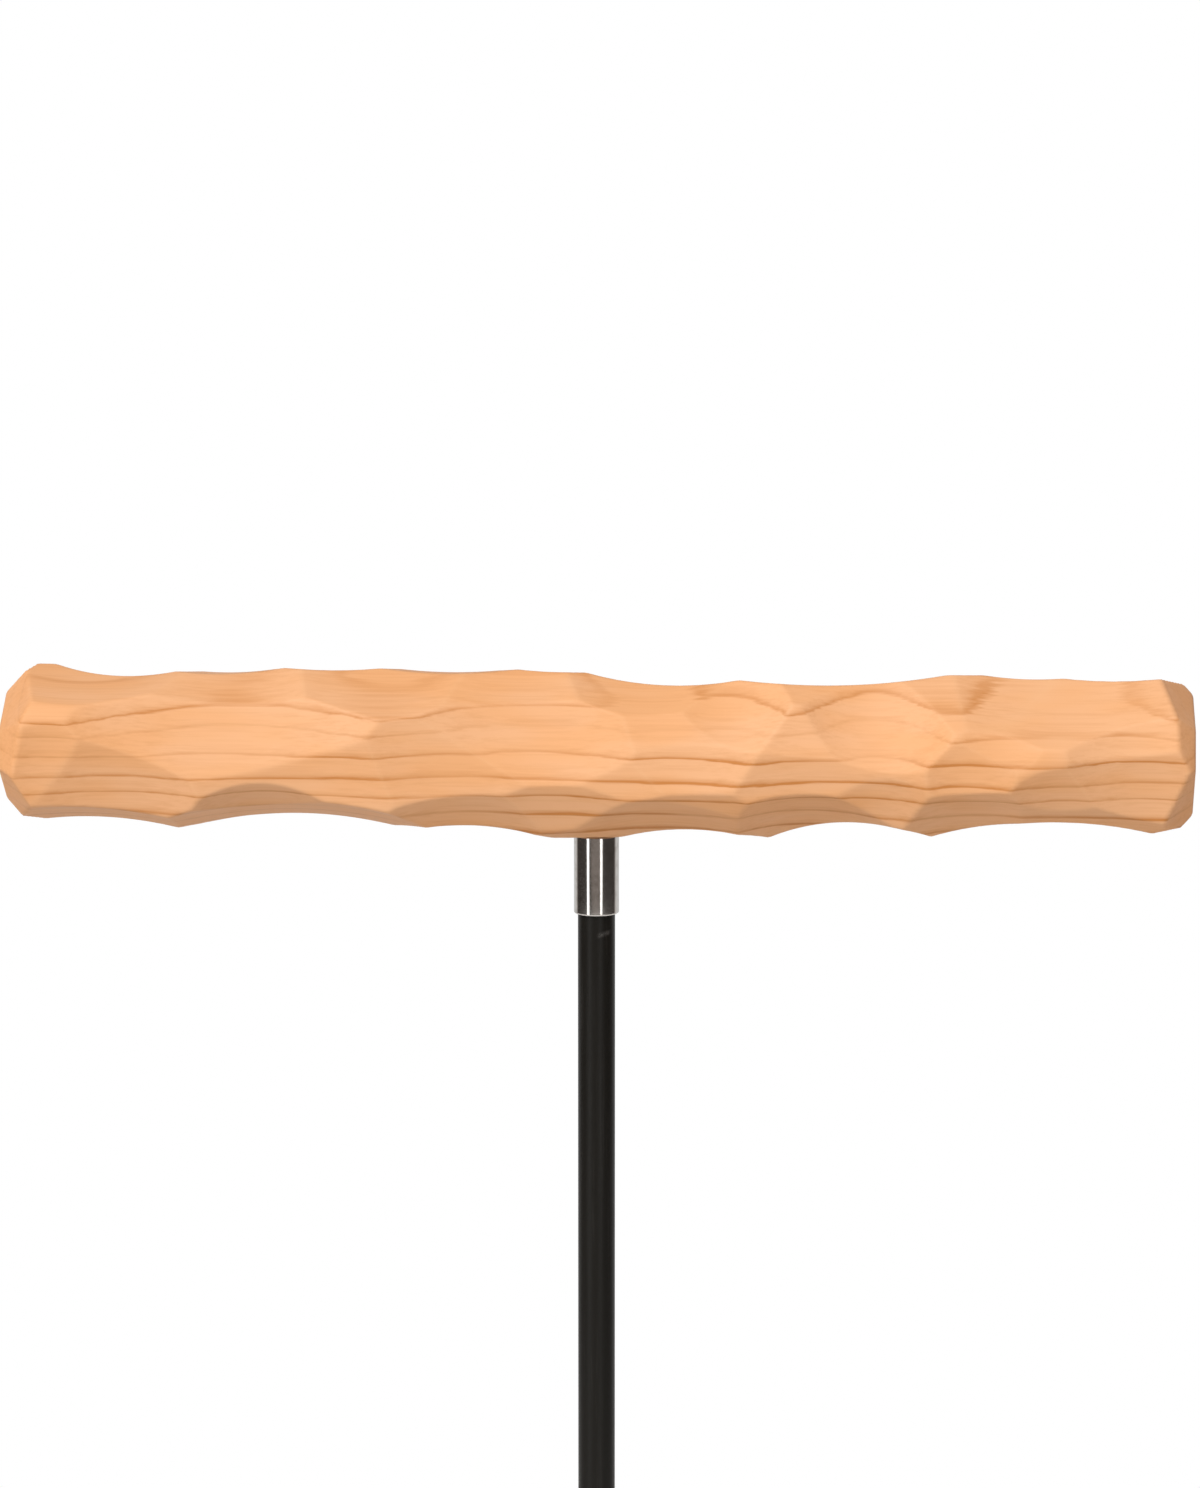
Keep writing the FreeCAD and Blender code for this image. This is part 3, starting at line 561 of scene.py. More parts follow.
TURNED_BRASS = Patchy(
    Slot.BRASS, tone=(0.78, 0.54, 0.22), patch_tone=(0.42, 0.26, 0.10), patch=(0.5, 4.0, 0.6),
    patch_span=(0.4, 0.75), grain=(0.5, 4.0, 0.6), rough=(0.22, 0.2, 0.0), relief=(0.01, 0.4), metal=1.0,
)
FINISHES: tuple[Finish, ...] = (
    CarvedWood(), BrightSteel(), SatinPaint(), CastMetal(), PLATED_STEEL, BLACK_PLASTIC, PALE_PLASTIC,
    BLACK_RUBBER, TURNED_BRASS,
)


# Surfaces


@dataclass(frozen=True)
class Axis:
    """A line in space with two directions across it, in millimetres."""

    base: Place
    along: Place
    across: Place

    def points(self, radius: Array, height: Array, turn: Array) -> Array:
        """Points round the axis.

        Args:
            radius: Distance from the axis.
            height: Distance along it from its base.
            turn: Angle round it from the across direction.

        Returns:
            The points, with three numbers in the last dimension.
        """
        along, across = np.array(self.along), np.array(self.across)
        third = np.cross(along, across)
        radius, height, turn = np.broadcast_arrays(radius, height, turn)
        sideways = np.cos(turn)[..., None] * across + np.sin(turn)[..., None] * third
        return np.array(self.base) + radius[..., None] * sideways + height[..., None] * along


UPRIGHT = Axis((0.0, 0.0, 0.0), (0.0, 0.0, 1.0), (1.0, 0.0, 0.0))


def turns(count: int) -> Array:
    """Even angles round a circle, in radians."""
    return np.arange(count) * (2 * math.pi / count)


def eased(corners: Sequence[Place], looped: bool, steps: int = 5) -> Array:
    """A profile with its corners rounded: each is a quadratic curve between points on its two sides.

    Args:
        corners: Radius, height and ease of each corner.
        looped: Whether the last corner joins the first.
        steps: Points on each rounded corner.

    Returns:
        Radius and height of the profile's points, in rows.
    """
    data = np.array(corners, float)
    place, ease = data[:, :2], data[:, 2]
    before, after = np.roll(place, 1, 0) - place, np.roll(place, -1, 0) - place
    long_before, long_after = np.linalg.norm(before, axis=1), np.linalg.norm(after, axis=1)
    start = place + before * (np.minimum(ease, 0.48 * long_before) / long_before)[:, None]
    end = place + after * (np.minimum(ease, 0.48 * long_after) / long_after)[:, None]
    if not looped:
        start[0] = end[0] = place[0]
        start[-1] = end[-1] = place[-1]
    share = np.linspace(0, 1, steps)[None, :, None]
    curve = start[:, None] * (1 - share) ** 2 + 2 * place[:, None] * share * (1 - share)
    flat = (curve + end[:, None] * share**2).reshape(-1, 2)
    moved = np.linalg.norm(flat - np.roll(flat, 1, 0), axis=1) > 1e-6
    return flat[moved | (np.arange(len(flat)) == 0)]


def grid_faces(rows: int, columns: int, looped: bool) -> Array:
    """Quads of a grid whose columns close on themselves.

    Args:
        rows: Rows of the grid.
        columns: Columns of the grid.
        looped: Whether the last row joins the first.

    Returns:
        Four corner numbers for each quad.
    """
    row = np.arange(rows if looped else rows - 1)[:, None]
    column = np.arange(columns)[None, :]
    beside = (column + 1) % columns
    here, above = row * columns, (row + 1) % rows * columns
    return np.stack([here + column, here + beside, above + beside, above + column], -1).reshape(-1, 4)


def signed_volume(points: Array, quads: Array) -> float:
    """Six times the volume inside quads: each is two triangles, and each of these a tetrahedron."""
    a, b, c, d = (points[quads[:, i]] for i in range(4))
    return float((a * np.cross(b, c)).sum() + (a * np.cross(c, d)).sum())


def with_poles(points: Array, quads: Array, columns: int) -> tuple[Array, list[list[int]]]:
    """Draws the first and the last row of a grid together into one point each.

    Args:
        points: The grid's points, in rows.
        quads: Its quads.
        columns: Columns of the grid.

    Returns:
        The points that are left, and the faces: quads, and then triangles at the poles.
    """
    keep = np.arange(len(points))
    keep[:columns] = 0
    keep[-columns:] = keep[-columns]
    used, renumbered = np.unique(keep, return_inverse=True)
    corners = renumbered[quads]
    doubled = corners == np.roll(corners, -1, 1)
    poles = doubled.any(1)
    triangles = corners[poles][~doubled[poles]].reshape(-1, 3)
    return points[used], corners[~poles].tolist() + triangles.tolist()


def shown(name: str, mesh: bpy.types.Mesh, crease: float) -> bpy.types.Object:
    """Makes a smooth object of a mesh, with edges sharp above an angle in degrees."""
    mesh.polygons.foreach_set("use_smooth", np.ones(len(mesh.polygons), bool))
    mesh.update()
    mesh.set_sharp_from_angle(angle=math.radians(crease))
    made = bpy.data.objects.new(name, mesh)
    bpy.context.scene.collection.objects.link(made)
    return made


def closed_mesh(name: str, grid: Array, looped: bool, crease: float = 32.0) -> bpy.types.Object:
    """Makes a closed piece of a grid of points whose columns run round it.

    Args:
        name: The piece's name.
        grid: Points in millimetres, by row and column.
        looped: Whether the rows close on themselves; if not, the first and last rows are poles.
        crease: Angle in degrees above which an edge stays sharp.

    Returns:
        The new object, at the origin.
    """
    rows, columns = grid.shape[:2]
    points = grid.reshape(-1, 3)
    quads = grid_faces(rows, columns, looped)
    if signed_volume(points - points.mean(0), quads) < 0:
        quads = quads[:, ::-1]
    faces = quads.tolist()
    if not looped:
        points, faces = with_poles(points, quads, columns)
    mesh = bpy.data.meshes.new(name)
    mesh.from_pydata((points * MM).tolist(), [], faces)
    return shown(name, mesh, crease)


def turned(name: str, profile: Array, axis: Axis, looped: bool, count: int = 96) -> bpy.types.Object:
    """A piece turned about an axis: the profile is carried round a circle.

    Args:
        name: The piece's name.
        profile: Radius and height of the profile's points.
        axis: The axis.
        looped: Whether the profile is a ring that doesn't touch the axis.
        count: Points round the axis.

    Returns:
        The new object.
    """
    grid = axis.points(profile[:, :1], profile[:, 1:], turns(count)[None, :])
    return closed_mesh(name, grid, looped)


def ranges(node: str) -> Array:
    """A CAD node's lowest and highest corner, in millimetres."""
    return np.array([list(corner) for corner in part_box(node)]) / MM


def eased_copy(node: bpy.types.Object, name: str, width: float, crease: float = 34.0) -> bpy.types.Object:
    """A copy of a CAD node with its loose corners merged and its sharp edges broken.

    Args:
        node: The CAD node's object.
        name: The copy's name.
        width: Width of the broken edge, in millimetres.
        crease: Angle in degrees above which an edge is broken.

    Returns:
        The new object.
    """
    source = node.data
    points = np.zeros(len(source.vertices) * 3)
    source.vertices.foreach_get("co", points)
    corners = np.zeros(len(source.polygons) * 3, int)
    source.polygons.foreach_get("vertices", corners)
    merged, number = np.unique(np.round(points.reshape(-1, 3), 6), axis=0, return_inverse=True)
    triangles = number.reshape(-1)[corners].reshape(-1, 3)
    triangles = triangles[(triangles != np.roll(triangles, 1, 1)).all(1)]
    mesh = bpy.data.meshes.new(name)
    mesh.from_pydata(merged.tolist(), [], triangles.tolist())
    form = bmesh.new()
    form.from_mesh(mesh)
    bmesh.ops.dissolve_limit(form, angle_limit=math.radians(0.6), verts=form.verts, edges=form.edges)
    form.to_mesh(mesh)
    form.free()
    made = shown(name, mesh, crease)
    bevel = made.modifiers.new("broken_edges", "BEVEL")
    bevel.width = width * MM
    bevel.segments = 3
    bevel.limit_method = "ANGLE"
    bevel.angle_limit = math.radians(crease)
    bevel.harden_normals = True
    return made


# Sub-assemblies


@dataclass
class Dresser:
    """Puts each piece on its body and gives it its slot's finish."""

    frame: dict[str, Any]
    materials: dict[str, bpy.types.Material] = field(default_factory=dict)

    def __post_init__(self) -> None:
        """Makes every finish and dresses the CAD nodes."""
        self.materials = {finish.slot.value: finish.material() for finish in FINISHES}
        for name, node in self.frame["nodes"].items():
            for slot in node.material_slots:
                slot.material = self.materials[self.slot_of(name)]

    def slot_of(self, node: str) -> str:
        """The record's slot that a node takes its finish from."""
        rows = self.frame["record"]["subparts"]
        return next(row["material_slot"] for row in rows if row["node"] == node)

    def place(self, piece: bpy.types.Object, node: str) -> bpy.types.Object:
        """Lets a piece stand for a CAD node.

        Args:
            piece: The new piece.
            node: The node that it replaces.

        Returns:
            The piece.
        """
        slot = self.slot_of(node)
        piece.data.materials.append(self.materials[slot])
        body = self.frame["nodes"][node]["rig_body"]
        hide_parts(node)
        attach(piece, body)
        LOG.info("%s rides on %s with finish %s", piece.name, body, slot)
        return piece


@dataclass
class CarvedPerch:
    """The carved bar: a round stock cut by strokes of a wheel and by flats knifed on its ends."""

    length: float = 508.0
    stock: float = 38.0
    height: float = 1000.0
    seat_depth: float = 1.3
    seat_length: float = 36.0
    seat_shift: float = -6.0
    seat_ramp: float = 2.0
    softness: float = 0.16
    end_ease: float = 1.2
    rows: int = 390
    columns: int = 244
    end_rings: int = 6
    lean: float = 45.0
    wood: CarvedWood = CarvedWood()

    # place along the bar, angle round it, depth left and curve, for each stroke
    strokes: Sequence[tuple[float, float, float, float]] = (
        # front
        (-0.908, -8, 0.848, 1.6), (-0.615, 17, 0.740, 6.4), (-0.505, -8, 0.822, 9.3),
        (-0.228, -2, 0.800, 5.1), (-0.089, 17, 0.740, 4.7), (0.034, -3, 0.872, 5.1),
        (0.126, 23, 0.831, 5), (0.142, 7, 0.837, 3.3), (0.39, -9, 0.859, 4.6), (0.395, 19, 0.865, 3.4),
        (0.468, 32, 0.740, 1.7), (0.628, -5, 0.923, 1.7), (0.677, 17, 0.938, 1.7),
        (0.902, 15, 0.845, 2.1), (0.925, -15, 0.772, 2.5),
        # front, below
        (-0.8, -18, 0.790, 3.4), (-0.55, -48, 0.739, 1.7), (-0.199, -41, 0.846, 3),
        (-0.073, -30, 0.866, 4.4), (0.004, -63, 0.964, 3.8), (0.118, -53, 0.838, 3.7),
        (0.16, -37, 0.907, 3.6), (0.367, -53, 0.757, 2.1), (0.459, -26, 0.851, 1.6),
        (0.642, -47, 0.821, 2.2), (0.79, -29, 0.856, 2), (0.807, -47, 0.844, 7.3),
        # underneath
        (-0.866, -72, 0.768, 4.6), (-0.51, -72, 0.689, 4.9), (-0.219, -87, 0.821, 3.2),
        (0.167, -89, 0.850, 2.9), (0.437, -83, 0.766, 2.4), (0.77, -89, 0.681, 4.6),
        (1.011, -81, 0.785, 1.9),
        # front, above
        (-0.852, 72, 0.808, 6.3), (-0.61, 56, 0.816, 3.9), (-0.36, 60, 0.847, 6.3),
        (-0.12, 54, 0.853, 6.3), (0.09, 60, 0.795, 3.9), (0.221, 39, 0.798, 1.7), (0.44, 55, 0.895, 4.7),
        (0.553, 49, 0.885, 4.5), (0.746, 52, 0.811, 4.7), (0.786, 50, 0.797, 5.5),
        # on top
        (-0.939, 107, 0.899, 6.9), (-0.79, 103, 0.763, 2.6), (-0.64, 98, 0.821, 3.9),
        (-0.45, 102, 0.853, 5.3), (-0.25, 98, 0.853, 5.8), (-0.05, 104, 0.842, 4.7),
        (0.14, 104, 0.705, 3.9), (0.375, 101, 0.739, 7.7), (0.592, 103, 0.856, 9.4),
        (0.732, 105, 0.810, 4), (0.875, 110, 0.751, 5.3),
        # back, above
        (-0.88, 146, 0.811, 5.3), (-0.55, 150, 0.826, 5.8), (-0.22, 144, 0.800, 4.7),
        (0.1, 152, 0.821, 5.8), (0.42, 147, 0.795, 4.7), (0.76, 150, 0.816, 5.3),
        # back
        (-0.74, 192, 0.800, 7.4), (-0.4, 188, 0.784, 7.9), (-0.08, 195, 0.800, 6.8),
        (0.26, 190, 0.789, 7.9), (0.58, 186, 0.805, 7.4), (0.88, 193, 0.795, 6.8),
        # back, below
        (-0.86, 234, 0.805, 4.7), (-0.52, 230, 0.821, 5.3), (-0.2, 226, 0.816, 4.7),
        (0.14, 224, 0.826, 5.3), (0.46, 232, 0.800, 4.5), (0.8, 235, 0.821, 5),
    )
    # side, angle round the bar and reach, for each flat on an end
    flats: Sequence[tuple[int, float, float]] = (
        (-1, 8, 0.33), (-1, 58, 0.46), (-1, 108, 0.45), (-1, 155, 0.39), (-1, 205, 0.42), (-1, 258, 0.47),
        (-1, 310, 0.44), (1, 20, 0.3), (1, 70, 0.42), (1, 118, 0.34), (1, 165, 0.32), (1, 215, 0.30),
        (1, 266, 0.39), (1, 318, 0.42),
    )

    def stroke_radii(self, along: Array, turn: Array) -> Array:
        """Radius left by each stroke: the wheel's depth there over the cosine of the angle from its middle.

        Args:
            along: Places along the bar, in a column.
            turn: Angles round it, in a row.

        Returns:
            One grid for each stroke, far outside the stock where the wheel doesn't reach.
        """
        place, angle, left, curve = (np.array(c)[:, None, None] for c in zip(*self.strokes))
        run = along - place * self.length / 2
        wheel = curve * self.stock
        depth = left * self.stock + wheel - np.sqrt(np.maximum(wheel**2 - run**2, 0))
        cosine = np.cos(turn - np.radians(angle))
        reached = (np.abs(run) < wheel) & (cosine > 0.2)
        return np.where(reached, depth / np.maximum(cosine, 0.2), 2 * self.stock)

    def flat_radii(self, along: Array, turn: Array) -> Array:
        """Radius left by each end flat, a plane that leans from the bar's axis.

        Args:
            along: Places along the bar, in a column.
            turn: Angles round it, in a row.

        Returns:
            One grid for each flat.
        """
        side, angle, reach = (np.array(c, float)[:, None, None] for c in zip(*self.flats))
        lean = math.radians(self.lean)
        start = self.length / 2 - reach * self.stock
        level = start * math.sin(lean) + self.stock * math.cos(lean) - side * along * math.sin(lean)
        cosine = np.cos(turn - np.radians(angle)) * math.cos(lean)
        return np.where(cosine > 0.05, level / np.maximum(cosine, 0.05), 2 * self.stock)

    def seat_radii(self, along: Array, turn: Array) -> Array:
        """Radius left by the flat under the bar, with a short ramp at its two ends."""
        past = np.maximum(np.abs(along - self.seat_shift) - self.seat_length / 2, 0)
        cosine = np.cos(turn + math.pi / 2)
        level = (self.stock - self.seat_depth) / np.maximum(cosine, 0.2) + self.seat_ramp * past
        return np.where(cosine > 0.2, level, 2 * self.stock)[None]

    def carve(self, along: Array, turn: Array) -> tuple[Array, Array]:
        """The bar's radius: the smooth minimum, by a log of summed exponentials, of the stock and every cut.

        Args:
            along: Places along the bar, in a column.
            turn: Angles round it, in a row.

        Returns:
            The radius, and how much the ridges are softened, from 0 to 1.
        """
        stock = np.full((1, len(along), turn.shape[1]), self.stock)
        kinds = (self.stroke_radii, self.flat_radii, self.seat_radii)
        cuts = np.concatenate([stock] + [radii(along, turn) for radii in kinds])
        hard = cuts.min(0)
        soft = self.softness * np.log(np.exp((hard - cuts) / self.softness).sum(0))
        past = np.clip((np.abs(along) - self.length / 2 + self.end_ease) / self.end_ease, 0, 1)
        end = self.end_ease * (1 - np.sqrt(1 - past**2))
        return hard - soft - end, np.clip(soft / (self.softness * math.log(2)), 0, 1)

    def build(self, dresser: Dresser) -> None:
        """Makes the bar: rings along its length, closed by flat ends.

        Args:
            dresser: Who dresses it.
        """
        half, ease = self.length / 2, self.end_ease
        rounding = half - ease + ease * np.sin(np.linspace(0, math.pi / 2, 6))
        middle = np.linspace(-half + ease, half - ease, self.rows)
        along = np.concatenate([-rounding[:0:-1], middle, rounding[1:]])[:, None]
        turn = turns(self.columns)[None, :]
        radius, ridge_highlight = self.carve(along, turn)
        shrink = np.linspace(0, 1, self.end_rings, endpoint=False)[:, None]
        radius = np.concatenate([shrink * radius[:1], radius, shrink[::-1] * radius[-1:]])
        caps = np.ones((self.end_rings, 1)) * half
        along = np.concatenate([-caps, along, caps])
        axis = Axis((0.0, 0.0, self.height), (1.0, 0.0, 0.0), (0.0, -1.0, 0.0))
        bar = closed_mesh("carved_perch", axis.points(radius, along, -turn), False, 75.0)
        self.mark_grain(bar)
        plain = np.zeros((self.end_rings, self.columns))
        # the softened crests are marked for the painted highlight along the ridges
        ridges = np.concatenate([plain, ridge_highlight, plain])[1:-1].reshape(-1)
        self.mark(bar, "ridge_highlight", np.concatenate([[0.0], ridges, [0.0]]))
        dresser.place(bar, "perch")

    def mark_grain(self, bar: bpy.types.Object) -> None:
        """Marks how far each point faces along the bar, and along the line to the pith."""
        normal, place = np.zeros((2, len(bar.data.vertices) * 3))
        bar.data.vertex_normals.foreach_get("vector", normal)
        bar.data.vertices.foreach_get("co", place)
        normal, place = normal.reshape(-1, 3), place.reshape(-1, 3) / MM
        self.mark(bar, "end_grain", np.abs(normal[:, 0]) ** 2)
        outward = place[:, 1:] - (self.wood.pith_back, self.height + self.wood.pith_up)
        outward /= np.linalg.norm(outward, axis=1)[:, None]
        self.mark(bar, "along_ring", np.abs((normal[:, 1:] * outward).sum(1)))

    @staticmethod
    def mark(piece: bpy.types.Object, name: str, values: Array) -> None:
        """Writes one number for each point into the mesh."""
        made = piece.data.attributes.new(name, "FLOAT", "POINT")
        made.data.foreach_set("value", values.astype(np.float32))


@dataclass
class Mast:
    """The ferrule and the two tubes of the mast, with the rubber tip under them."""

    ferrule_bore: float = 8.25
    ferrule_web: float = 949.7
    bolt_hole: float = 4.8
    ferrule_ease: float = 0.7
    mast_wall: float = 1.5
    outer_wall: float = 1.5
    lip: float = 0.35
    tip_bore: float = 11.05
    tip_floor: float = 4.0
    tip_ease: float = 1.6
    tip_taper: float = 1.0
    tip_toe: float = 2.5
    tip_grooves: int = 3
    tip_groove: float = 0.7
    groove_half: float = 1.0
    groove_span: Span = (0.28, 0.66)
    tip_shoulder: float = 0.8

    def build(self, dresser: Dresser) -> None:
        """Makes the four turned pieces."""
        self.ferrule(dresser)
        self.tube(dresser, "mast_tube", "mast_upper", self.mast_wall)
        self.tube(dresser, "outer_tube", "mast_lower", self.outer_wall)
        self.tip(dresser)

    def ferrule(self, dresser: Dresser) -> None:
        """The polished sleeve, with its web and the bolt's hole."""
        low, high = ranges("ferrule")
        radius, bottom, top = high[0], low[2], high[2]
        ease = self.ferrule_ease
        profile = eased(
            [
                (self.ferrule_bore, bottom, 0.15), (radius, bottom, ease), (radius, top, ease / 2),
                (self.bolt_hole, top, 0.2), (self.bolt_hole, self.ferrule_web, 0.2),
                (self.ferrule_bore, self.ferrule_web, 0.2),
            ],
            True,
        )
        dresser.place(turned("polished_ferrule", profile, UPRIGHT, True, 128), "ferrule")

    def tube(self, dresser: Dresser, node: str, name: str, wall: float) -> None:
        """A straight tube between a node's ends."""
        low, high = ranges(node)
        outer, inner = high[0], high[0] - wall
        corners = [(inner, low[2]), (outer, low[2]), (outer, high[2]), (inner, high[2])]
        profile = eased([(*corner, self.lip) for corner in corners], True)
        dresser.place(turned(name, profile, UPRIGHT, True, 96), node)

    def tip(self, dresser: Dresser) -> None:
        """The rubber cap, with grooves round it."""
        _, high = ranges("tube_tip")
        radius, top = high[0], high[2]
        small, depth, half = radius - self.tip_taper, radius - self.tip_groove, self.groove_half
        corners = [(0.0, 0.0, 0.0), (small, 0.0, self.tip_ease), (radius, self.tip_toe, self.tip_ease)]
        for place in np.linspace(*self.groove_span, self.tip_grooves) * top:
            corners += [(radius, place - half, 0.3), (depth, place, 0.5), (radius, place + half, 0.3)]
        corners += [(radius, self.tip_shoulder * top, 1.0), (small, top, self.tip_ease / 2)]
        corners += [(self.tip_bore, top, 0.3), (self.tip_bore, self.tip_floor, 0.3), (0.0, self.tip_floor, 0.0)]
        dresser.place(turned("rubber_tip", eased(corners, False), UPRIGHT, False, 72), "tube_tip")


@dataclass
class ClampKnob:
    """The scalloped knob of the height clamp, along +X."""

    screw_height: float = 567.0
    start: float = 31.5
    head: float = 36.5
    end: float = 49.5
    neck: float = 9.0
    radius: float = 19.0
    bore: float = 4.05
    bore_end: float = 43.05
    scallops: int = 6
    scallop: float = 7.5
    bite: float = 3.5
    lobe_ease: float = 0.5
    rim: float = 1.8
    cap: float = 9.5
    groove: float = 0.5
    columns: int = 180

    def outline(self, turn: Array) -> Array:
        """The head's radius at each angle: the smooth minimum of the rim and the nearest scallop's circle."""
        pitch = 2 * math.pi / self.scallops
        off = (turn + pitch / 2) % pitch - pitch / 2
        centre = self.radius + self.scallop - self.bite
        inside = self.scallop**2 - (centre * np.sin(off)) ** 2
        ray = centre * np.cos(off) - np.sqrt(np.maximum(inside, 0))
        bitten = np.where(inside > 0, ray, 2 * self.radius)
        soft = 1.0 + np.exp(-(bitten - self.radius) / self.lobe_ease)
        return self.radius - self.lobe_ease * np.log(soft)

    def build(self, dresser: Dresser) -> None:
        """Makes the knob: a turned profile whose head is carried out to the lobed outline.

        Args:
            dresser: Who dresses it.
        """
        rim, groove = self.rim, self.groove
        corners = [
            (0.0, self.bore_end, 0.0), (self.bore, self.bore_end, 0.2), (self.bore, self.start, 0.4),
            (self.neck, self.start, 0.8), (self.neck, self.head, 0.8), (self.radius, self.head, rim),
            (self.radius, self.end, rim), (self.cap + groove, self.end, 0.25),
            (self.cap, self.end - groove, 0.25), (self.cap - groove, self.end, 0.25), (0.0, self.end, 0.0),
        ]
        profile = eased(corners, False, 7)
        turn = turns(self.columns)[None, :]
        radius, height = profile[:, :1], profile[:, 1:]
        reach = np.clip((radius - self.cap - groove) / (self.radius - self.cap - groove), 0, 1)
        lobed = radius + reach * (self.outline(turn) - self.radius)
        lobed = np.where(height < self.head - 0.5, radius, lobed)
        axis = Axis((0.0, 0.0, self.screw_height), (1.0, 0.0, 0.0), (0.0, 0.0, -1.0))
        knob = closed_mesh("scalloped_knob", axis.points(lobed, height, turn), False, 50.0)
        dresser.place(knob, "clamp_knob")


@dataclass
class Legs:
    """The tubes and rubber feet of the three legs, as turned pieces."""

    azimuths: tuple[float, ...] = (90.0, 210.0, 330.0)
    spread: float = 73.5
    pivot_radius: float = 30.0
    pivot_height: float = 104.0
    tube: float = 8.0
    wall: float = 1.2
    tube_start: float = 16.5
    cushion: float = 3.0
    cover: float = 3.2
    fit: float = 0.05
    sleeve: float = 26.0
    toe: float = 24.0
    ribs: int = 3
    rib_depth: float = 0.8
    lip: float = 0.3

    def axis(self, azimuth: float) -> Axis:
        """A leg's axis, from its pivot outwards and down."""
        turn, slope = math.radians(azimuth), math.radians(self.spread)
        out = (math.cos(turn), math.sin(turn))
        base = (self.pivot_radius * out[0], self.pivot_radius * out[1], self.pivot_height)
        along = (math.sin(slope) * out[0], math.sin(slope) * out[1], -math.cos(slope))
        return Axis(base, along, (-out[1], out[0], 0.0))

    def tube_end(self) -> float:
        """Distance along the leg at which its tube ends, with the cushion left under it."""
        slope = math.radians(self.spread)
        return (self.pivot_height - self.cushion - self.tube * math.sin(slope)) / math.cos(slope)

    def foot_profile(self) -> Array:
        """Profile of the rubber foot: a socket for the tube, ribs round the sleeve and a rounded toe."""
        end, wide, bore = self.tube_end(), self.tube + self.cover, self.tube + self.fit
        top, rib = end - self.sleeve, self.sleeve / (2 * self.ribs)
        corners = [(0.0, end, 0.0), (bore, end, 0.2), (bore, top, 0.3), (wide - 2 * self.rib_depth, top, 0.6)]
        for i in range(self.ribs):
            start = top + 2 * rib * i + self.rib_depth
            corners += [(wide, start, 0.4), (wide, start + rib, 0.4)]
            corners += [(wide - self.rib_depth, start + rib + self.rib_depth, 0.4)]
        finish = end + self.toe
        corners += [(wide, end, 0.8), (wide, finish - self.cover, 2.4)]
        corners += [(wide - self.cover, finish, 2.4), (0.0, finish, 0.0)]
        return eased(corners, False, 6)

    def foot(self, axis: Axis, name: str) -> bpy.types.Object:
        """A turned foot pressed flat where it would go under the floor."""
        profile = self.foot_profile()
        grid = axis.points(profile[:, :1], profile[:, 1:], turns(144)[None, :])
        grid[..., 2] = np.maximum(grid[..., 2], 0.0)
        return closed_mesh(name, grid, False, 40.0)

    def build(self, dresser: Dresser) -> None:
        """Makes the tube and the foot of every leg."""
        end = self.tube_end()
        outer, inner = self.tube, self.tube - self.wall
        corners = [(inner, self.tube_start), (outer, self.tube_start), (outer, end), (inner, end)]
        profile = eased([(*corner, self.lip) for corner in corners], True)
        for side, azimuth in zip(SIDES, self.azimuths):
            axis = self.axis(azimuth)
            dresser.place(turned("leg_bar_" + side, profile, axis, True, 72), "leg_tube_" + side)
            dresser.place(self.foot(axis, "rubber_foot_" + side), "leg_foot_" + side)


@dataclass
class Castings:
    """Castings and fittings that keep their CAD shape, with broken edges of these widths."""

    widths: dict[str, float] = field(
        default_factory=lambda: {
            "hub": 0.7, "leg_knuckle": 0.6, "clamp_collar": 0.5, "leg_nut": 0.3, "leg_pin": 0.5,
            "collar_screw": 0.3,
        }
    )

    def build(self, dresser: Dresser) -> None:
        """Makes an eased copy of each, on every side where a piece is there three times."""
        nodes = dresser.frame["nodes"]
        for kind, width in self.widths.items():
            for node in [kind] if kind in nodes else [f"{kind}_{side}" for side in SIDES]:
                dresser.place(eased_copy(nodes[node], "eased_" + node, width), node)


# Studio


def towards(azimuth: float, elevation: float) -> Vector:
    """Direction from the stand at an angle from the front and an angle up, in degrees."""
    turn, tilt = math.radians(azimuth), math.radians(elevation)
    return Vector((math.sin(turn) * math.cos(tilt), -math.cos(turn) * math.cos(tilt), math.sin(tilt)))


def stand_at(made: bpy.types.Object, place: Vector, aim: Vector) -> None:
    """Puts a lamp or camera into the scene, facing a point."""
    made.location = place
    made.rotation_euler = (aim - place).to_track_quat("-Z", "Y").to_euler()
    bpy.context.scene.collection.objects.link(made)


@dataclass(frozen=True)
class Softbox:
    """An area lamp that faces the perch."""

    name: str
    azimuth: float
    distance: float
    height: float
    size: tuple[float, float]
    radiance: float
    aim: float = 0.95

    def build(self) -> None:
        """Makes the lamp; its power is pi times its area times its radiance."""
        lamp = bpy.data.lights.new(self.name, "AREA")
        lamp.shape = "RECTANGLE"
        lamp.size, lamp.size_y = self.size
        lamp.energy = math.pi * self.size[0] * self.size[1] * self.radiance
        made = bpy.data.objects.new(self.name, lamp)
        made.visible_camera = False
        place = self.distance * towards(self.azimuth, 0.0)
        stand_at(made, place + Vector((0.0, 0.0, self.height)), Vector((0.0, 0.0, self.aim)))


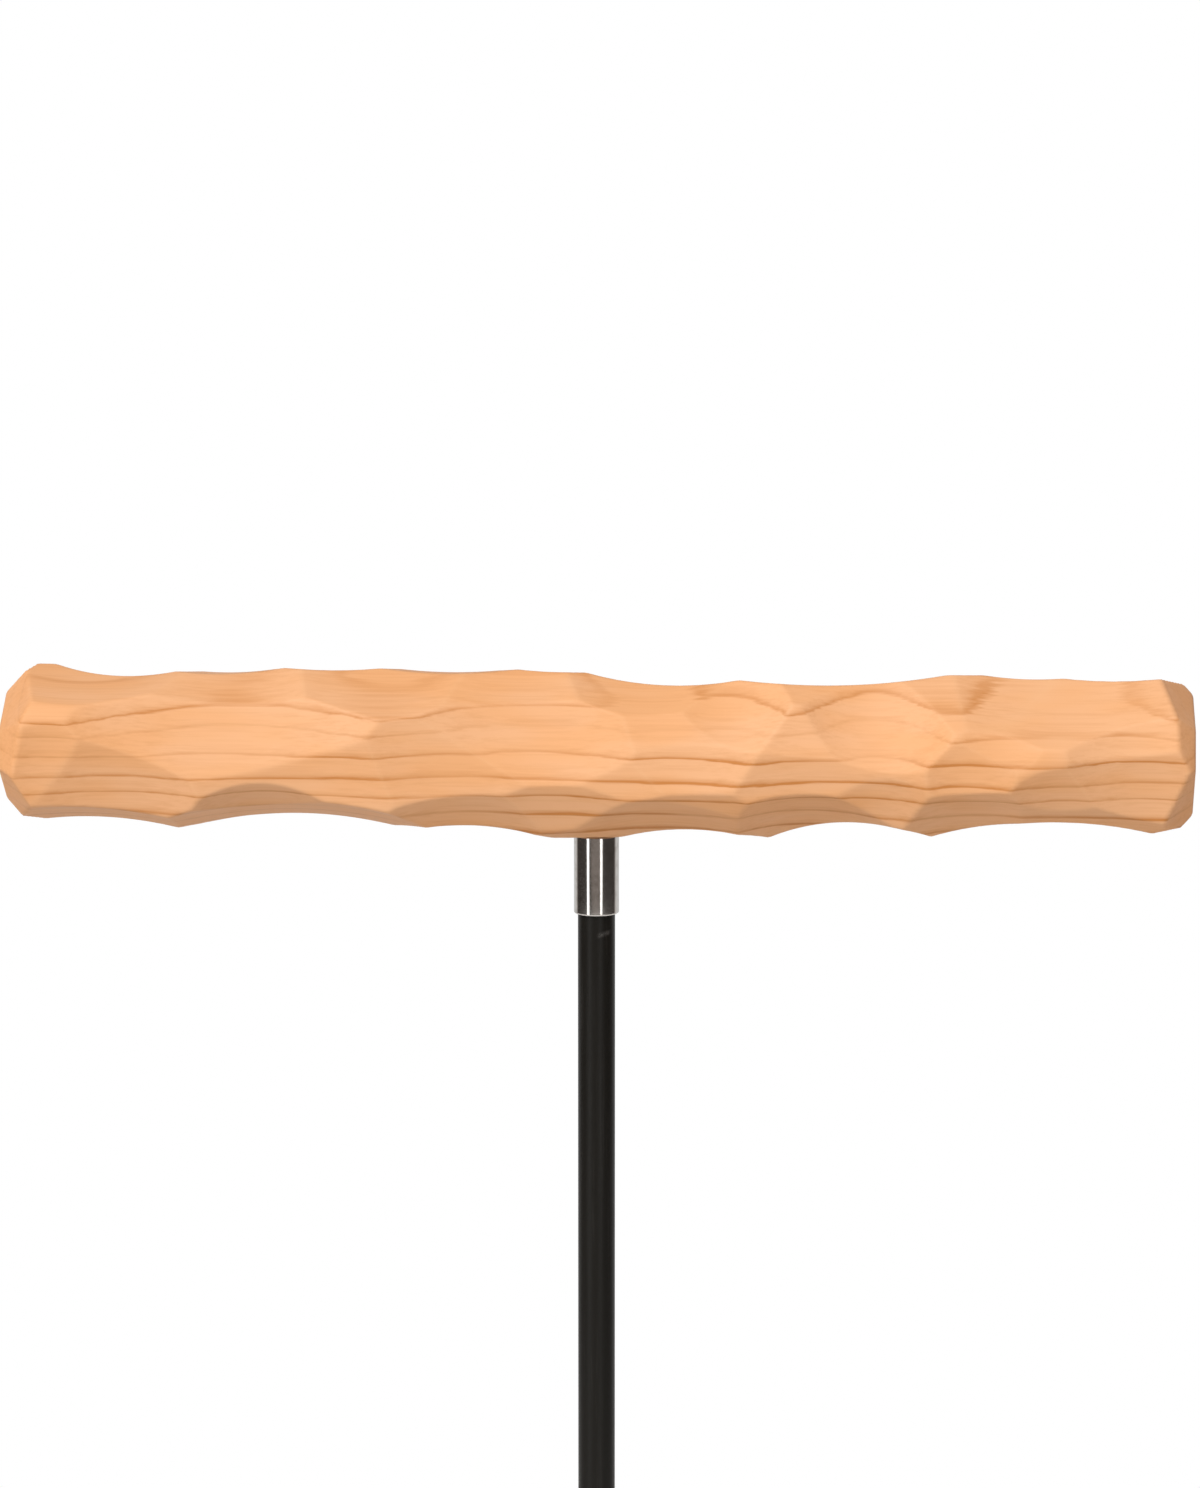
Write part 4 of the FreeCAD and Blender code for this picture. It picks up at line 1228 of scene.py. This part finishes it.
@dataclass
class Studio:
    """Camera, lamps, world and the pale floor."""

    azimuth: float = 3.5
    elevation: float = 10.3
    distance: float = 2.324
    lens: float = 131.4
    aim_height: float = 1.0
    aim_right: float = 0.0015
    aim_up: float = 0.00254
    floor_radius: float = 2.4
    floor_clear: float = 1.1
    floor_colour: Colour = (0.96, 0.96, 0.96)
    floor_bounce: float = 0.58
    ambient: float = 0.395
    ambient_tint: Colour = (1.05, 0.995, 0.95)
    room_dark: float = 0.058
    room_front: float = 0.25
    room_behind: float = 0.72
    room_tint: Colour = (1.0, 0.87, 0.79)
    sun_azimuth: float = -32.0
    sun_elevation: float = 42.0
    sun_light: float = 0.625
    sun_spread: float = 26.0
    lamps: tuple[Softbox, ...] = (
        Softbox("left_strip", -40.0, 2.4, 1.0, (0.46, 2.1), 2.6),
        Softbox("right_strip", 28.0, 2.6, 1.0, (0.46, 2.1), 2.4),
    )

    def build(self) -> None:
        """Makes everything round the object."""
        self.camera()
        self.world()
        self.floor()
        self.sun()
        for lamp in self.lamps:
            lamp.build()
        bpy.context.scene.view_settings.view_transform = "Standard"

    def camera(self) -> None:
        """The camera at the photograph's viewing angle."""
        back = towards(self.azimuth, self.elevation)
        right = towards(self.azimuth + 90.0, 0.0)
        lens = bpy.data.cameras.new("camera")
        lens.lens, lens.sensor_width, lens.clip_end = self.lens, 36.0, 100.0
        made = bpy.data.objects.new("camera", lens)
        centre = Vector((0.0, 0.0, self.aim_height))
        aim = centre + right * self.aim_right + back.cross(right) * self.aim_up
        stand_at(made, centre + back * self.distance, aim)
        bpy.context.scene.camera = made

    def sun(self) -> None:
        """The soft main light, from the upper left in front; its strength is pi times its share of white."""
        lamp = bpy.data.lights.new("main_light", "SUN")
        lamp.energy = math.pi * self.sun_light
        lamp.angle = math.radians(self.sun_spread)
        made = bpy.data.objects.new("main_light", lamp)
        stand_at(made, 4.0 * towards(self.sun_azimuth, self.sun_elevation), Vector())

    def world(self) -> None:
        """White to the camera, plain light to the object, and to metal white behind and dim in front."""
        made = bpy.data.worlds.new("studio")
        made.use_nodes = True
        bpy.context.scene.world = made
        tree = ShaderTree(made.node_tree)
        path = tree.node("ShaderNodeLightPath").socket.node.outputs
        seen, mirrored = Value(tree, path["Is Camera Ray"]), Value(tree, path["Is Glossy Ray"])
        through = Value(tree, path["Is Transmission Ray"])
        direction = tree.node("ShaderNodeTexCoord", output="Generated")
        back = tree.axes(direction)[1]
        behind = back.step(0.25, 0.55)
        room = back.step(-0.95, -0.84, self.room_front, self.room_dark)
        room = room + behind * (self.room_behind - self.room_dark)
        lit = mirrored * room + (1.0 - mirrored) * self.ambient
        white = seen.math("MAXIMUM", seen, through)
        strength = white + (1.0 - white) * lit
        metal = tree.mix(behind, self.room_tint, (1.0, 1.0, 1.0))
        tint = tree.mix(white, tree.mix(mirrored, self.ambient_tint, metal), (1.0, 1.0, 1.0))
        light = tree.node("ShaderNodeBackground", None, {"Color": tint, "Strength": strength})
        tree.node("ShaderNodeOutputWorld", None, {"Surface": light})

    def floor(self) -> None:
        """A pale disc that holds the shadow near the stand and fades into white further out."""
        radius = np.linspace(0, self.floor_radius / MM, 24)[:, None]
        points = UPRIGHT.points(radius, np.zeros_like(radius), turns(96)[None, :])
        points[..., 2] -= 0.05
        mesh = bpy.data.meshes.new("floor")
        mesh.from_pydata((points.reshape(-1, 3) * MM).tolist(), [], grid_faces(24, 96, False).tolist())
        made = bpy.data.objects.new("floor", mesh)
        bpy.context.scene.collection.objects.link(made)
        mesh.materials.append(self.floor_material())

    def floor_material(self) -> bpy.types.Material:
        """Pale paint, replaced by plain white to the camera away from the stand."""
        made = bpy.data.materials.new("floor_paint")
        made.use_nodes = True
        tree = ShaderTree(made.node_tree)
        x, y, _ = tree.axes(tree.coordinates())
        out = (x * x + y * y).root().step(0.45 * self.floor_clear / MM, self.floor_clear / MM)
        path = tree.node("ShaderNodeLightPath").socket.node.outputs
        seen, bounced = Value(tree, path["Is Camera Ray"]), Value(tree, path["Is Diffuse Ray"])
        sockets = {"Base Color": (*self.floor_colour, 1.0), "Roughness": 0.8}
        paint = tree.node("ShaderNodeBsdfPrincipled", None, sockets)
        white = tree.node("ShaderNodeEmission", None, {"Color": (1.0, 1.0, 1.0, 1.0), "Strength": 1.0})
        mixed = tree.node("ShaderNodeMixShader", None, {0: seen * out, 1: paint, 2: white})
        dark = tree.node("ShaderNodeBsdfDiffuse", None, {"Color": (0.0, 0.0, 0.0, 1.0)})
        share = bounced * (1.0 - self.floor_bounce)
        dimmed = tree.node("ShaderNodeMixShader", None, {0: share, 1: mixed, 2: dark})
        tree.node("ShaderNodeOutputMaterial", None, {"Surface": dimmed})
        return made


def main() -> None:
    """Builds the studio and the stand."""
    logging.basicConfig(level=logging.INFO, format="%(name)s: %(message)s")
    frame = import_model()
    Studio().build()
    dresser = Dresser(frame)
    for assembly in (CarvedPerch(), Mast(), ClampKnob(), Legs(), Castings()):
        assembly.build(dresser)


if __name__ == "__main__":
    main()
